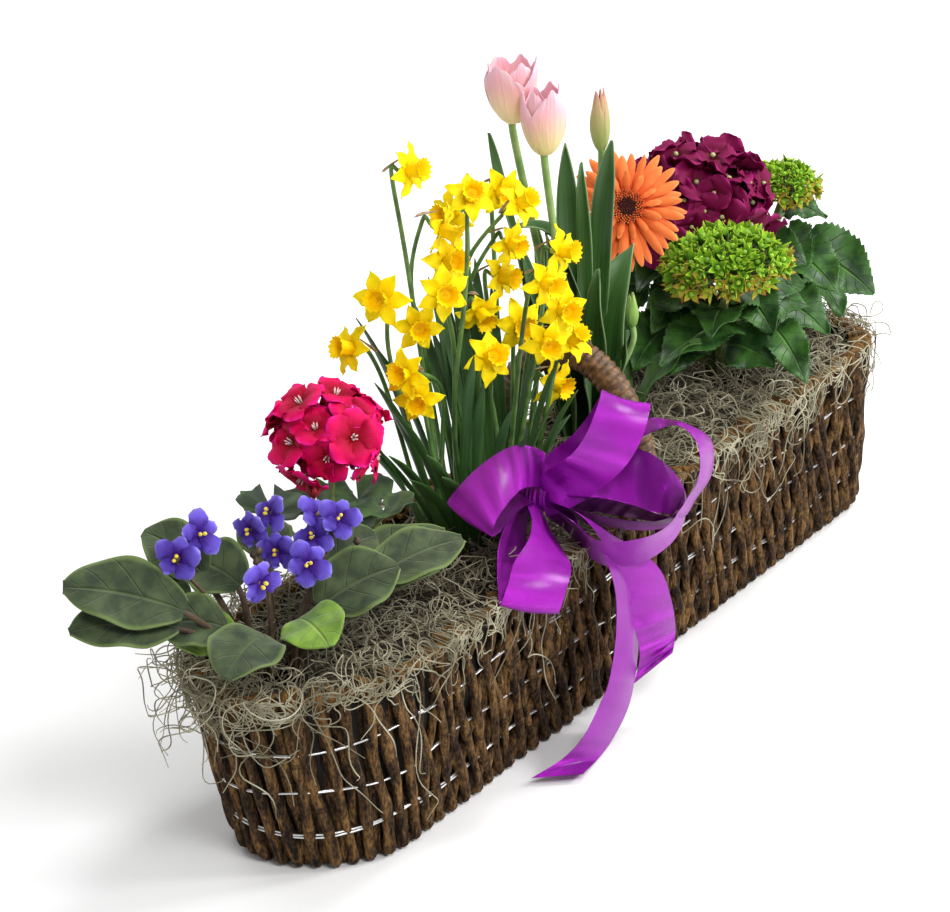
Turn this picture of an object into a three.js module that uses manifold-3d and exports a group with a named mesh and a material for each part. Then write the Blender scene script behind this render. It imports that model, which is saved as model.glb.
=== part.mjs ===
import * as THREE from 'three';
import { mergeVertices } from 'three/addons/utils/BufferGeometryUtils.js';
import Module from 'manifold-3d';

// A long vine basket with a hoop handle, planted with spring flowers and tied with a ribbon bow.
// Millimetres, +Z up. The origin is the middle of the underside. +X runs along the basket to its far end,
// and -Y is the side with the bow.

const wasm = await Module();
wasm.setup();

// Driving dimensions
const BASKET = {
  halfStraight: 342,
  nearEnd: 77,
  farEnd: 67,
  halfWidth: 71,
  nearFlare: 45,
  farFlare: 3,
  sideFlare: 16,
  height: 148,
  wall: 8,
  floor: 5,
};

// The stakes of the wall. At each level, crest and valley are how far in they lie from the plain wall.
// A second layer leans the other way, so the gaps are shallow where it fills them and deep in between.
const STAKES = {
  count: 92,
  lean: 20,
  levels: [0, 5, 40, 74, 110, BASKET.height],
  crest: [1.5, -3, -3, -3, -3, -1],
  valley: [6, 5.5, 1.5, 5.5, 1.5, 5],
  proud: 3,
};
const GAP = 0.35;
const WIRE = { heights: [33, 67, 104], radius: 1 };
const BOARD = { thickness: 6 };
const LINER = { thickness: 1.2, top: 143 };
const SOIL_TOP = 138;
const HANDLE = { x: 12, halfSpan: 64, apex: 246, foot: 70, radius: 11.5, wraps: 20, wrapDepth: 1.6 };
const MOSS = { top: 150, overRim: 153.5, rimGap: 0.5, lumps: 8, clear: 10 };
const RIBBON = { width: 48, thickness: 1 };
const KNOT = new THREE.Vector3(-124, -50, 185);
const KNOT_RADIUS = 13;

// Plants: where each one stands in the soil, and how thick its root ball is
const PLUG_BOTTOM = 96;
const PLUG_TOP = 149;
const STEM_FOOT = PLUG_TOP - 5;
const PLUGS = {
  violet: { x: -395, y: 8, rx: 22, ry: 22 },
  geranium: { x: -283, y: 30, rx: 14, ry: 14 },
  daffodil: { x: -110, y: 8, rx: 68, ry: 26 },
  tulip: { x: 62, y: 20, rx: 20, ry: 20 },
  gerbera: { x: 128, y: 22, rx: 12, ry: 12 },
  hydrangea: { x: 262, y: 5, rx: 24, ry: 24 },
};

// Heads of florets: how much of the head its core fills, and how far the florets stand off the core
const HEAD_CORE = 0.9;
const HEAD_LIFT = 3;

const COLOURS = {
  vine: 0x5a4028,
  handle: 0x7a5228,
  wire: 0xb9b9b4,
  board: 0x8a6a42,
  liner: 0x1c1c1c,
  soil: 0x2a1c12,
  moss: 0x9a9a7c,
  ribbon: 0x9a10b0,
  pick: 0xb89868,
  violetLeaf: 0x56684a,
  violetBloom: 0x5a50d0,
  leaf: 0x2f6a28,
  darkLeaf: 0x214f24,
  geranium: 0xd8104c,
  daffodil: 0xf6d80c,
  tulip: 0xeba8b4,
  tulipGreen: 0xa8a878,
  gerbera: 0xf08040,
  disc: 0x4a1410,
  burgundy: 0x6a0c30,
  greenHead: 0x86b018,
};

const UP = new THREE.Vector3(0, 0, 1);
const v = (x, y, z) => new THREE.Vector3(x, y, z);

// A repeatable draw between 0 and 1
function seeded(seed) {
  let state = seed;
  return () => {
    state = (state * 1664525 + 1013904223) % 4294967296;
    return state / 4294967296;
  };
}

// Joining and cutting

function solidOf(geometry) {
  const bare = geometry.clone();
  bare.deleteAttribute('normal');
  bare.deleteAttribute('uv');
  const merged = mergeVertices(bare, 1e-4);
  const vertProperties = new Float32Array(merged.attributes.position.array);
  const triVerts = new Uint32Array(merged.index.array);
  return new wasm.Manifold(new wasm.Mesh({ numProp: 3, vertProperties, triVerts }));
}

function geometryOf(solid) {
  const mesh = solid.getMesh();
  const geometry = new THREE.BufferGeometry();
  geometry.setAttribute('position', new THREE.BufferAttribute(mesh.vertProperties, 3));
  geometry.setIndex(new THREE.BufferAttribute(mesh.triVerts, 1));
  geometry.computeVertexNormals();
  return geometry;
}

// The largest body of a solid: loose scraps go, and hollows that joining sealed are filled
function mainBody(solid) {
  let largest = null;
  for (const body of solid.decompose()) {
    if (!largest || body.volume() > largest.volume()) {
      largest = body;
    }
  }
  return largest;
}

function fuse(geometries) {
  return mainBody(wasm.Manifold.union(geometries.map(solidOf)));
}

// Shapes that grow: blades, stalks and cut-out plates

// The outline of a blade: how wide it is from its root at 0 to its tip at 1
const OUTLINES = {
  oval: (t) => 0.16 + 0.84 * Math.sin(Math.PI * (0.06 + 0.88 * t)) ** 0.75,
  heart: (t) => 0.14 + 0.86 * Math.sin(Math.PI * (0.1 + 0.86 * t) ** 0.72) ** 0.8,
  lance: (t) => 0.1 + 0.9 * Math.sin(Math.PI * (0.12 + 0.82 * t) ** 0.85),
  strap: (t) => (t < 0.8 ? 0.75 + 0.3 * t : 0.99 * (1 - ((t - 0.8) / 0.2) ** 2 * 0.8)),
  petal: (t) => 0.34 + 0.66 * Math.sin(Math.PI * (0.08 + 0.8 * t)),
};

// A thin curved blade. Its spine runs from root over middle to tip, its upper face looks to face,
// and both faces are split into the same triangles.
function blade(options) {
  const { root, middle, tip, face, width, outline = OUTLINES.oval } = options;
  const { rows = 4, cols = 2, thick = 0.8, fold = 0, wave = 0, waves = 3 } = options;
  const spine = new THREE.QuadraticBezierCurve3(root, middle, tip);
  const positions = [];
  const index = [];
  for (const under of [0, 1]) {
    for (let row = 0; row <= rows; row += 1) {
      const t = row / rows;
      const along = spine.getTangent(t);
      const side = along.clone().cross(face).normalize();
      const normal = side.clone().cross(along).normalize();
      const half = (width * outline(t)) / 2;
      for (let col = 0; col <= cols; col += 1) {
        const across = (2 * col) / cols - 1;
        const edge = Math.abs(across);
        const ripple = wave * edge * Math.sin(Math.PI * waves * t + (across > 0 ? 0 : 2));
        const lift = fold * edge * half + ripple + (under ? -thick / 2 : thick / 2);
        const point = spine.getPoint(t).addScaledVector(side, across * half).addScaledVector(normal, lift);
        positions.push(point.x, point.y, point.z);
      }
    }
  }
  const layer = (rows + 1) * (cols + 1);
  const at = (row, col, under) => under * layer + row * (cols + 1) + col;
  for (let row = 0; row < rows; row += 1) {
    for (let col = 0; col < cols; col += 1) {
      const [a, b] = [at(row, col, 0), at(row, col + 1, 0)];
      const [c, d] = [at(row + 1, col + 1, 0), at(row + 1, col, 0)];
      index.push(a, b, c, a, c, d);
      index.push(a + layer, c + layer, b + layer, a + layer, d + layer, c + layer);
    }
  }
  const wallBetween = (p, q) => index.push(p, p + layer, q + layer, p, q + layer, q);
  for (let row = 0; row < rows; row += 1) {
    wallBetween(at(row + 1, 0, 0), at(row, 0, 0));
    wallBetween(at(row, cols, 0), at(row + 1, cols, 0));
  }
  for (let col = 0; col < cols; col += 1) {
    wallBetween(at(0, col, 0), at(0, col + 1, 0));
    wallBetween(at(rows, col + 1, 0), at(rows, col, 0));
  }
  const geometry = new THREE.BufferGeometry();
  geometry.setAttribute('position', new THREE.Float32BufferAttribute(positions, 3));
  geometry.setIndex(index);
  return geometry;
}

// A round rod bent along the given points, thinner towards its end
function stalk(points, radius, { end = radius * 0.8, sides = 5, steps = 4, ridges = 0, depth = 0 } = {}) {
  const path = new THREE.CatmullRomCurve3(points, false, 'centripetal');
  const chord = points[points.length - 1].clone().sub(points[0]);
  const axes = [v(1, 0, 0), v(0, 1, 0), v(0, 0, 1)];
  const least = axes.reduce((a, b) => (Math.abs(a.dot(chord)) <= Math.abs(b.dot(chord)) ? a : b));
  const geometry = new THREE.CylinderGeometry(1, 1, 1, sides, steps);
  const place = geometry.attributes.position;
  for (let i = 0; i < place.count; i += 1) {
    const t = Math.min(1, Math.max(0, place.getY(i) + 0.5));
    const along = path.getTangentAt(t);
    const side = least.clone().cross(along).normalize();
    const normal = side.clone().cross(along).normalize();
    const size = radius + (end - radius) * t + depth * Math.cos(2 * Math.PI * ridges * t);
    const point = path.getPointAt(t);
    point.addScaledVector(side, place.getX(i) * size).addScaledVector(normal, place.getZ(i) * size);
    place.setXYZ(i, point.x, point.y, point.z);
  }
  return geometry;
}

// Turns a shape made round +Z so that it looks along facing, and moves it to its place
function aim(geometry, centre, facing, spin = 0) {
  const turn = new THREE.Quaternion().setFromUnitVectors(UP, facing.clone().normalize());
  geometry.rotateZ(spin);
  geometry.applyQuaternion(turn);
  geometry.translate(centre.x, centre.y, centre.z);
  return geometry;
}

function direction(azimuth, elevation) {
  const a = THREE.MathUtils.degToRad(azimuth);
  const e = THREE.MathUtils.degToRad(elevation);
  return v(Math.cos(e) * Math.cos(a), Math.cos(e) * Math.sin(a), Math.sin(e));
}

// Points evenly round a lobed outline: a notch, then the given number of points along each lobe's outer edge
function lobedPoint(k, { lobes, perLobe, radius, notch }) {
  const angle = (2 * Math.PI * k) / (lobes * (perLobe + 1));
  const reach = k % (perLobe + 1) === 0 ? notch : radius;
  return new THREE.Vector2(reach * Math.cos(angle), reach * Math.sin(angle));
}

// A whorl of petals cut from one plate and cupped. Every other lobe is raised, as in two rings of three.
function whorl(options) {
  const { lobes, perLobe, radius, thick = 0.8, cup = 0, height = 0, raise = 0 } = options;
  const count = lobes * (perLobe + 1);
  const shape = new THREE.Shape(Array.from({ length: count }, (_, k) => lobedPoint(k, options)));
  const geometry = new THREE.ExtrudeGeometry(shape, { depth: thick, bevelEnabled: false, steps: 1 });
  const place = geometry.attributes.position;
  for (let i = 0; i < place.count; i += 1) {
    const turn = Math.atan2(place.getY(i), place.getX(i)) / (2 * Math.PI);
    const k = Math.round((turn < 0 ? turn + 1 : turn) * count);
    const lobe = Math.floor(k / (perLobe + 1));
    const layer = k % (perLobe + 1) && lobe % 2 ? raise : 0;
    const reach = Math.hypot(place.getX(i), place.getY(i)) / radius;
    place.setZ(i, place.getZ(i) + height + cup * reach ** 2 + layer);
  }
  return geometry;
}

// A funnel-shaped floret: a lobed face over a point that goes down into what it grows from
function funnel(options) {
  const { lobes, perLobe, depth } = options;
  const count = lobes * (perLobe + 1);
  const geometry = new THREE.ConeGeometry(1, depth, count);
  geometry.rotateX(-Math.PI / 2);
  const place = geometry.attributes.position;
  for (let i = 0; i < place.count; i += 1) {
    const turn = Math.atan2(place.getY(i), place.getX(i)) / (2 * Math.PI);
    const k = Math.round((turn < 0 ? turn + 1 : turn) * count) % count;
    const onEdge = Math.hypot(place.getX(i), place.getY(i)) > 0.5;
    const point = onEdge ? lobedPoint(k, options) : new THREE.Vector2(0, 0);
    place.setXY(i, point.x, point.y);
  }
  return geometry;
}

// The trough: a straight trough with half-elliptical ends that lean outwards towards the rim

function troughSize(z, inset) {
  const rise = z / BASKET.height;
  return {
    near: BASKET.nearEnd + BASKET.nearFlare * rise - inset,
    far: BASKET.farEnd + BASKET.farFlare * rise - inset,
    width: BASKET.halfWidth + BASKET.sideFlare * rise - inset,
  };
}

const NEAR_ARC = 0.5 * Math.PI * (BASKET.nearEnd + BASKET.halfWidth + 25);
const FAR_ARC = 0.5 * Math.PI * (BASKET.farEnd + BASKET.halfWidth + 8);
const LAP = 4 * BASKET.halfStraight + NEAR_ARC + FAR_ARC;

// The point at a distance along the wall, from the near end of the bow side, counter-clockwise
function troughPoint(distance, z, inset = 0) {
  const { near, far, width } = troughSize(z, inset);
  const straight = 2 * BASKET.halfStraight;
  let run = ((distance % LAP) + LAP) % LAP;
  if (run < straight) {
    return v(run - BASKET.halfStraight, -width, z);
  }
  run -= straight;
  if (run < FAR_ARC) {
    const angle = -Math.PI / 2 + (Math.PI * run) / FAR_ARC;
    return v(BASKET.halfStraight + far * Math.cos(angle), width * Math.sin(angle), z);
  }
  run -= FAR_ARC;
  if (run < straight) {
    return v(BASKET.halfStraight - run, width, z);
  }
  run -= straight;
  const angle = Math.PI / 2 + (Math.PI * run) / NEAR_ARC;
  return v(-BASKET.halfStraight + near * Math.cos(angle), width * Math.sin(angle), z);
}

// A closed block with the trough's outline, from level to level; place gives each ring's distance and inset
function troughBlock(columns, levels, place) {
  const positions = [];
  const index = [];
  for (const level of levels) {
    for (let column = 0; column < columns; column += 1) {
      const { distance, inset, z } = place(column, level);
      const point = troughPoint(distance, z, inset);
      positions.push(point.x, point.y, point.z);
    }
  }
  for (let ring = 0; ring < levels.length - 1; ring += 1) {
    for (let column = 0; column < columns; column += 1) {
      const next = (column + 1) % columns;
      const a = ring * columns + column;
      const b = ring * columns + next;
      index.push(a, b, b + columns, a, b + columns, a + columns);
    }
  }
  const rings = [0, levels.length - 1];
  for (const ring of rings) {
    const outline = [];
    for (let column = 0; column < columns; column += 1) {
      const at = 3 * (ring * columns + column);
      outline.push(new THREE.Vector2(positions[at], positions[at + 1]));
    }
    for (const [a, b, c] of THREE.ShapeUtils.triangulateShape(outline, [])) {
      const base = ring * columns;
      index.push(...(ring === 0 ? [base + a, base + c, base + b] : [base + a, base + b, base + c]));
    }
  }
  const geometry = new THREE.BufferGeometry();
  geometry.setAttribute('position', new THREE.Float32BufferAttribute(positions, 3));
  geometry.setIndex(index);
  return geometry;
}

// Stations round the trough: two on each straight side, the rest round the ends
function stations(perEnd) {
  const straight = 2 * BASKET.halfStraight;
  const list = [0];
  for (let i = 0; i <= perEnd; i += 1) {
    list.push(straight + (FAR_ARC * i) / perEnd);
  }
  for (let i = 0; i < perEnd; i += 1) {
    list.push(2 * straight + FAR_ARC + (NEAR_ARC * i) / perEnd);
  }
  return list;
}

function plainBlock(levels, inset, perEnd = 10) {
  const list = stations(perEnd);
  return solidOf(troughBlock(list.length, levels, (column, z) => ({ distance: list[column], inset, z })));
}

// The wall of leaning stakes, on a floor made of their turned-in feet
function basketWall() {
  const pitch = LAP / STAKES.count;
  const outside = troughBlock(2 * STAKES.count, STAKES.levels, (column, z) => {
    const level = STAKES.levels.indexOf(z);
    const inset = column % 2 === 0 ? STAKES.crest[level] : STAKES.valley[level];
    const distance = (column / 2) * pitch + STAKES.lean * (z / BASKET.height - 0.5);
    return { distance, inset, z };
  });
  const hollow = plainBlock([BASKET.floor, BASKET.height + 1], BASKET.wall);
  return mainBody(solidOf(outside).subtract(hollow));
}

// One turn of wire, drawn tight round the stakes
function wireHoop(z) {
  const list = stations(14);
  const inset = -STAKES.proud - 2 * GAP - WIRE.radius;
  const path = list.map((distance) => troughPoint(distance, z, inset));
  const sides = 3;
  const positions = [];
  const index = [];
  path.forEach((point, i) => {
    const before = path[(i + path.length - 1) % path.length];
    const after = path[(i + 1) % path.length];
    const along = after.clone().sub(before).normalize();
    const outward = along.clone().cross(UP).normalize();
    for (let side = 0; side < sides; side += 1) {
      const angle = (2 * Math.PI * side) / sides;
      const place = point.clone().addScaledVector(outward, WIRE.radius * Math.cos(angle));
      place.addScaledVector(UP, WIRE.radius * Math.sin(angle));
      positions.push(place.x, place.y, place.z);
    }
  });
  for (let i = 0; i < path.length; i += 1) {
    for (let side = 0; side < sides; side += 1) {
      const a = i * sides + side;
      const b = i * sides + ((side + 1) % sides);
      const c = ((i + 1) % path.length) * sides + ((side + 1) % sides);
      const d = ((i + 1) % path.length) * sides + side;
      index.push(a, c, b, a, d, c);
    }
  }
  const geometry = new THREE.BufferGeometry();
  geometry.setAttribute('position', new THREE.Float32BufferAttribute(positions, 3));
  geometry.setIndex(index);
  return geometry;
}

// An upright plug of a root ball, grown by some millimetres when it serves as a hole
function plug({ x, y, rx, ry }, bottom, top, grow = 0) {
  const geometry = new THREE.CylinderGeometry(1, 1, top - bottom, 8, 1);
  geometry.rotateX(Math.PI / 2);
  geometry.scale(rx + grow, ry + grow, 1);
  geometry.translate(x, y, (top + bottom) / 2);
  return geometry;
}

// The handle: a hoop of bound vine, whose feet stand inside the wall

function handlePath(foot) {
  const points = [];
  const arcSteps = 12;
  const rim = BASKET.height;
  const spread = BASKET.sideFlare / BASKET.height;
  points.push(v(HANDLE.x, -HANDLE.halfSpan + spread * foot, rim - foot));
  for (let i = 0; i <= arcSteps; i += 1) {
    const angle = Math.PI - (Math.PI * i) / arcSteps;
    points.push(v(HANDLE.x, HANDLE.halfSpan * Math.cos(angle), rim + (HANDLE.apex - rim) * Math.sin(angle)));
  }
  points.push(v(HANDLE.x, HANDLE.halfSpan - spread * foot, rim - foot));
  return points;
}

function handle(grow = 0) {
  const { foot, radius, wraps, wrapDepth } = HANDLE;
  const bound = grow ? radius + wrapDepth + grow : radius;
  const shape = { end: bound, sides: 8, steps: 2 * wraps, ridges: wraps, depth: grow ? 0 : -wrapDepth };
  return stalk(handlePath(foot + grow), bound, shape);
}

// The ribbon: each loop goes out from the knot and back, wide across the given direction

function band(count, place) {
  const positions = [];
  const index = [];
  for (let i = 0; i <= count; i += 1) {
    const { centre, across, normal } = place(i / count);
    for (const [s, n] of [[-1, 1], [1, 1], [1, -1], [-1, -1]]) {
      const point = centre.clone().addScaledVector(across, s);
      point.addScaledVector(normal, (n * RIBBON.thickness) / 2);
      positions.push(point.x, point.y, point.z);
    }
  }
  for (let i = 0; i < count; i += 1) {
    for (let side = 0; side < 4; side += 1) {
      const a = 4 * i + side;
      const b = 4 * i + ((side + 1) % 4);
      index.push(a, b, b + 4, a, b + 4, a + 4);
    }
  }
  const last = 4 * count;
  index.push(0, 2, 1, 0, 3, 2, last, last + 1, last + 2, last, last + 2, last + 3);
  const geometry = new THREE.BufferGeometry();
  geometry.setAttribute('position', new THREE.Float32BufferAttribute(positions, 3));
  geometry.setIndex(index);
  return geometry;
}

const LOOPS = [
  { start: v(-4, 2, 4), out: v(-112, -20, 22), across: v(0, -0.86, -0.51), height: 34 },
  { start: v(-4, -4, -4), out: v(-122, -64, -24), across: v(0.25, -0.95, -0.1), height: 15 },
  { start: v(3, 2, 5), out: v(58, -46, 68), across: v(0.1, -0.97, -0.3), height: 24 },
  { start: v(4, -6, -1), out: v(86, -70, -14), across: v(-0.35, -0.35, 0.87), height: 32 },
  { start: v(6, 2, 2), out: v(138, -70, -4), across: v(-0.6, -0.4, 0.6), height: 20 },
];

function ribbonLoop({ start, out, across, height }) {
  const length = out.length();
  const ahead = out.clone().normalize();
  const lift = ahead.clone().cross(across).normalize();
  const wide = lift.clone().cross(ahead).normalize();
  return band(8, (t) => {
    const angle = 2 * Math.PI * t;
    const reach = (1 - Math.cos(angle)) / 2;
    const rise = Math.sin(angle) * (0.25 + 0.75 * reach);
    const centre = KNOT.clone().add(start);
    centre.addScaledVector(ahead, length * reach).addScaledVector(lift, height * rise);
    const pinch = 0.25 + 0.75 * Math.min(1, reach * 2);
    const slope = v(0, 0, 0).addScaledVector(ahead, length * Math.sin(angle) + 1e-3);
    const climb = 2 * Math.cos(angle) * (0.25 + 0.75 * reach) + 0.75 * Math.sin(angle) ** 2;
    slope.addScaledVector(lift, height * climb);
    const normal = wide.clone().cross(slope).normalize();
    return { centre, across: wide.clone().multiplyScalar((RIBBON.width / 2) * pinch), normal };
  });
}

// Tails, by the two edges of the ribbon from the knot down to its cut end
const TAILS = [
  [
    [v(-118, -52, 188), v(-128, -58, 180)],
    [v(-104, -100, 172), v(-134, -92, 160)],
    [v(-88, -118, 140), v(-126, -116, 128)],
    [v(-88, -118, 100), v(-116, -106, 92)],
    [v(-90, -116, 62), v(-116, -104, 62)],
    [v(-122, -112, 30), v(-140, -102, 44)],
    [v(-182, -118, 2), v(-252, -108, 16)],
  ],
  [
    [v(-116, -54, 184), v(-124, -60, 176)],
    [v(-88, -106, 166), v(-124, -106, 154)],
    [v(-66, -126, 124), v(-108, -124, 118)],
    [v(-48, -128, 90), v(-92, -126, 90)],
    [v(-44, -128, 66), v(-88, -128, 70)],
    [v(-54, -128, 44), v(-98, -128, 34)],
  ],
];

function ribbonTail(edges) {
  const left = new THREE.CatmullRomCurve3(edges.map((pair) => pair[0]));
  const right = new THREE.CatmullRomCurve3(edges.map((pair) => pair[1]));
  return band(7, (t) => {
    const a = left.getPoint(t);
    const b = right.getPoint(t);
    const along = left.getTangent(t).add(right.getTangent(t)).normalize();
    const across = b.clone().sub(a).multiplyScalar(0.5);
    const normal = across.clone().cross(along).normalize();
    return { centre: a.clone().add(b).multiplyScalar(0.5), across, normal };
  });
}

function bow() {
  const knot = new THREE.SphereGeometry(1, 8, 6);
  knot.scale(KNOT_RADIUS, KNOT_RADIUS, KNOT_RADIUS);
  knot.translate(KNOT.x, KNOT.y, KNOT.z);
  return fuse([knot, ...LOOPS.map(ribbonLoop), ...TAILS.map(ribbonTail)]);
}

// African violet: a rosette of broad leaves, and blooms in three trusses

const VIOLET_LEAVES = [
  { root: v(-456, 38, 206), tip: v(-500, 108, 228), width: 52 },
  { root: v(-462, 40, 196), tip: v(-514, 95, 202), width: 40 },
  { root: v(-430, 22, 186), tip: v(-462, 62, 192), width: 42 },
  { root: v(-436, 6, 166), tip: v(-462, 38, 166), width: 32 },
  { root: v(-420, -12, 176), tip: v(-462, -22, 160), width: 48 },
  { root: v(-398, -24, 172), tip: v(-388, -66, 162), width: 40 },
  { root: v(-380, -24, 190), tip: v(-334, -62, 210), width: 50 },
  { root: v(-340, -44, 200), tip: v(-264, -72, 206), width: 40 },
  { root: v(-326, -26, 186), tip: v(-240, -44, 196), width: 52 },
  { root: v(-352, -6, 204), tip: v(-300, -22, 214), width: 38 },
  { root: v(-408, 54, 212), tip: v(-416, 98, 240), width: 40 },
  { root: v(-428, 54, 200), tip: v(-450, 100, 210), width: 34 },
  { root: v(-398, 30, 204), tip: v(-402, 72, 218), width: 44 },
  { root: v(-366, 28, 212), tip: v(-334, 52, 226), width: 36 },
];

const VIOLET_TRUSSES = [
  [[-421, 45, 250, -150, 30], [-440, 52, 238, 170, 10]],
  [
    [-372, 18, 252, -160, 40],
    [-380, 30, 240, 180, 25],
    [-381, 8, 228, -150, 15],
    [-434, -12, 228, -150, 5],
  ],
  [
    [-385, -20, 225, -140, 5],
    [-343, -20, 244, -130, 25],
    [-352, -4, 230, -140, 20],
    [-341, 0, 242, -110, 30],
  ],
];

function violetFoliage() {
  const base = PLUGS.violet;
  const parts = [plug(base, PLUG_BOTTOM, PLUG_TOP)];
  for (const { root, tip, width } of VIOLET_LEAVES) {
    const middle = root.clone().lerp(tip, 0.5).add(v(0, 0, 9));
    parts.push(blade({ root, middle, tip, face: UP, width, fold: 0.16, thick: 1.2, rows: 3 }));
    const centre = v(base.x, base.y, STEM_FOOT);
    const away = v(root.x - base.x, root.y - base.y, 0).normalize();
    const start = centre.clone().addScaledVector(away, base.rx * 0.7);
    const inward = root.clone().sub(tip).normalize();
    const knee = start.clone().lerp(root, 0.5).add(v(0, 0, 6));
    const end = root.clone().addScaledVector(inward, -10);
    parts.push(stalk([start, knee, end], 2.6, { sides: 3, steps: 2 }));
  }
  return fuse(parts);
}

function violetTruss(blooms, number) {
  const draw = seeded(31 + number);
  const base = PLUGS.violet;
  const parts = [];
  const fork = v(0, 0, 0);
  for (const [x, y, z] of blooms) {
    fork.add(v(x, y, z - 26).multiplyScalar(1 / blooms.length));
  }
  const start = v(base.x - 4 + 4 * number, base.y + 5 - 5 * number, PLUG_TOP + GAP);
  const low = start.clone().add(v(0, 0, 10));
  const knee = start.clone().lerp(fork, 0.3).setZ(start.z + 34);
  parts.push(stalk([start, low, knee, fork], 2, { sides: 4, steps: 4 }));
  for (const [x, y, z, azimuth, elevation] of blooms) {
    const centre = v(x, y, z);
    const facing = direction(azimuth, elevation);
    const back = centre.clone().addScaledVector(facing, 0.5);
    const neck = centre.clone().addScaledVector(facing, -8).add(v(0, 0, -6));
    parts.push(stalk([fork.clone().add(v(0, 0, -2)), neck, back], 1.3, { sides: 3, steps: 2 }));
    const petals = whorl({ lobes: 5, perLobe: 2, radius: 18, notch: 8, cup: 2, thick: 1 });
    parts.push(aim(petals, centre, facing, draw() * 6));
  }
  return fuse(parts);
}

// Geranium: scalloped leaves under one head of florets

const GERANIUM_HEAD = { centre: v(-281, 30, 276), radii: v(50, 50, 44) };
const GERANIUM_LEAVES = [
  { root: v(-286, 50, 206), tip: v(-300, 92, 224), width: 52 },
  { root: v(-270, 46, 196), tip: v(-236, 74, 214), width: 50 },
  { root: v(-262, 30, 204), tip: v(-216, 36, 216), width: 52 },
  { root: v(-272, 12, 206), tip: v(-250, -22, 224), width: 44 },
  { root: v(-256, 40, 176), tip: v(-206, 62, 182), width: 46 },
  { root: v(-300, 42, 190), tip: v(-342, 70, 200), width: 42 },
];

function geraniumFoliage() {
  const base = PLUGS.geranium;
  const parts = [plug(base, PLUG_BOTTOM, PLUG_TOP)];
  const start = v(base.x, base.y, STEM_FOOT);
  for (const { root, tip, width } of GERANIUM_LEAVES) {
    const middle = root.clone().lerp(tip, 0.5).add(v(0, 0, 4));
    const shape = { fold: 0.2, wave: 3, waves: 4, thick: 1, rows: 4 };
    parts.push(blade({ root, middle, tip, face: UP, width, ...shape }));
    const inward = root.clone().sub(tip).normalize();
    const knee = start.clone().lerp(root, 0.6).add(v(0, 0, 4));
    parts.push(stalk([start, knee, root.clone().addScaledVector(inward, -8)], 2, { sides: 4, steps: 2 }));
  }
  const top = headSeat(GERANIUM_HEAD);
  const middle = start.clone().lerp(top, 0.5);
  parts.push(stalk([start, middle, top.clone().add(v(0, 0, -12)), top], 3, { steps: 4 }));
  return fuse(parts);
}

// The top of the stem that carries a head: just under the pole of the head's core
function headSeat({ centre, radii }) {
  return centre.clone().add(v(0, 0, -radii.z * HEAD_CORE - GAP));
}

// A head of florets, set evenly over a dome round a smaller core, down to the given height
function floretHead({ centre, radii, count, lowest, floret, seed }) {
  const draw = seeded(seed);
  const ball = new THREE.SphereGeometry(1, 9, 6);
  ball.rotateX(Math.PI / 2);
  ball.scale(radii.x * HEAD_CORE, radii.y * HEAD_CORE, radii.z * HEAD_CORE);
  ball.translate(centre.x, centre.y, centre.z);
  const parts = [ball];
  const golden = Math.PI * (3 - Math.sqrt(5));
  for (let i = 0; i < count; i += 1) {
    const height = 1 - ((1 - lowest) * (i + 0.5)) / count;
    const ring = Math.sqrt(1 - height * height);
    const outward = v(ring * Math.cos(golden * i), ring * Math.sin(golden * i), height);
    const place = outward.clone().multiply(radii).multiplyScalar(HEAD_CORE).add(centre);
    const facing = outward.clone().divide(radii).normalize();
    parts.push(aim(floret(), place.addScaledVector(facing, HEAD_LIFT), facing, draw() * 6));
  }
  return fuse(parts);
}

function geraniumHead() {
  const floret = () => funnel({ lobes: 5, perLobe: 2, radius: 21, notch: 11, depth: 12 });
  return floretHead({ ...GERANIUM_HEAD, count: 13, lowest: -0.6, floret, seed: 5 });
}

// Daffodils: one clump of stems and strap leaves, and a bloom on each stem.
// Each bloom: its centre, then the azimuth and elevation that its trumpet points to.

const DAFFODILS = [
  [-190, 5, 452, -90, 10],
  [-218, 15, 362, -170, 15],
  [-216, 45, 318, 155, 20],
  [-165, 20, 322, -140, 5],
  [-175, -10, 356, -135, 10],
  [-215, 0, 305, -180, 15],
  [-186, 10, 274, -155, 0],
  [-151, 5, 396, -80, -20],
  [-128, 15, 361, -110, 15],
  [-94, 30, 386, 165, 10],
  [-163, -30, 428, -135, 40],
  [-33, 25, 386, -120, -5],
  [-79, -20, 396, -95, 30],
  [-64, 0, 358, -105, -10],
  [-25, -20, 342, -90, 5],
  [-44, 22, 322, -95, 0],
  [-106, -55, 348, -110, -5],
  [-87, 15, 309, -120, -25],
  [-30, 15, 278, -130, 10],
  [-62, -42, 310, -120, 5],
  [-103, -52, 300, -135, -5],
  [-34, -32, 274, -95, 40],
  [-118, -10, 286, -115, 25],
  [-28, -10, 236, -100, -10],
];
const DAFFODIL = { radius: 20, trumpet: 15, tube: 8 };

function daffodilBloom([x, y, z, azimuth, elevation], number) {
  const centre = v(x, y, z);
  const facing = direction(azimuth, elevation);
  const { radius, trumpet, tube } = DAFFODIL;
  const profile = [
    [0, -tube],
    [2, -tube],
    [5, 1],
    [8.5, trumpet],
    [0, 3],
  ];
  const cup = new THREE.LatheGeometry(profile.map(([r, h]) => new THREE.Vector2(r, h)), 6);
  cup.rotateX(Math.PI / 2);
  const petals = whorl({ lobes: 6, perLobe: 1, radius, notch: 10, cup: 2, raise: 2 });
  return fuse([aim(cup, centre, facing), aim(petals, centre, facing, number * 0.7)]);
}

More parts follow.
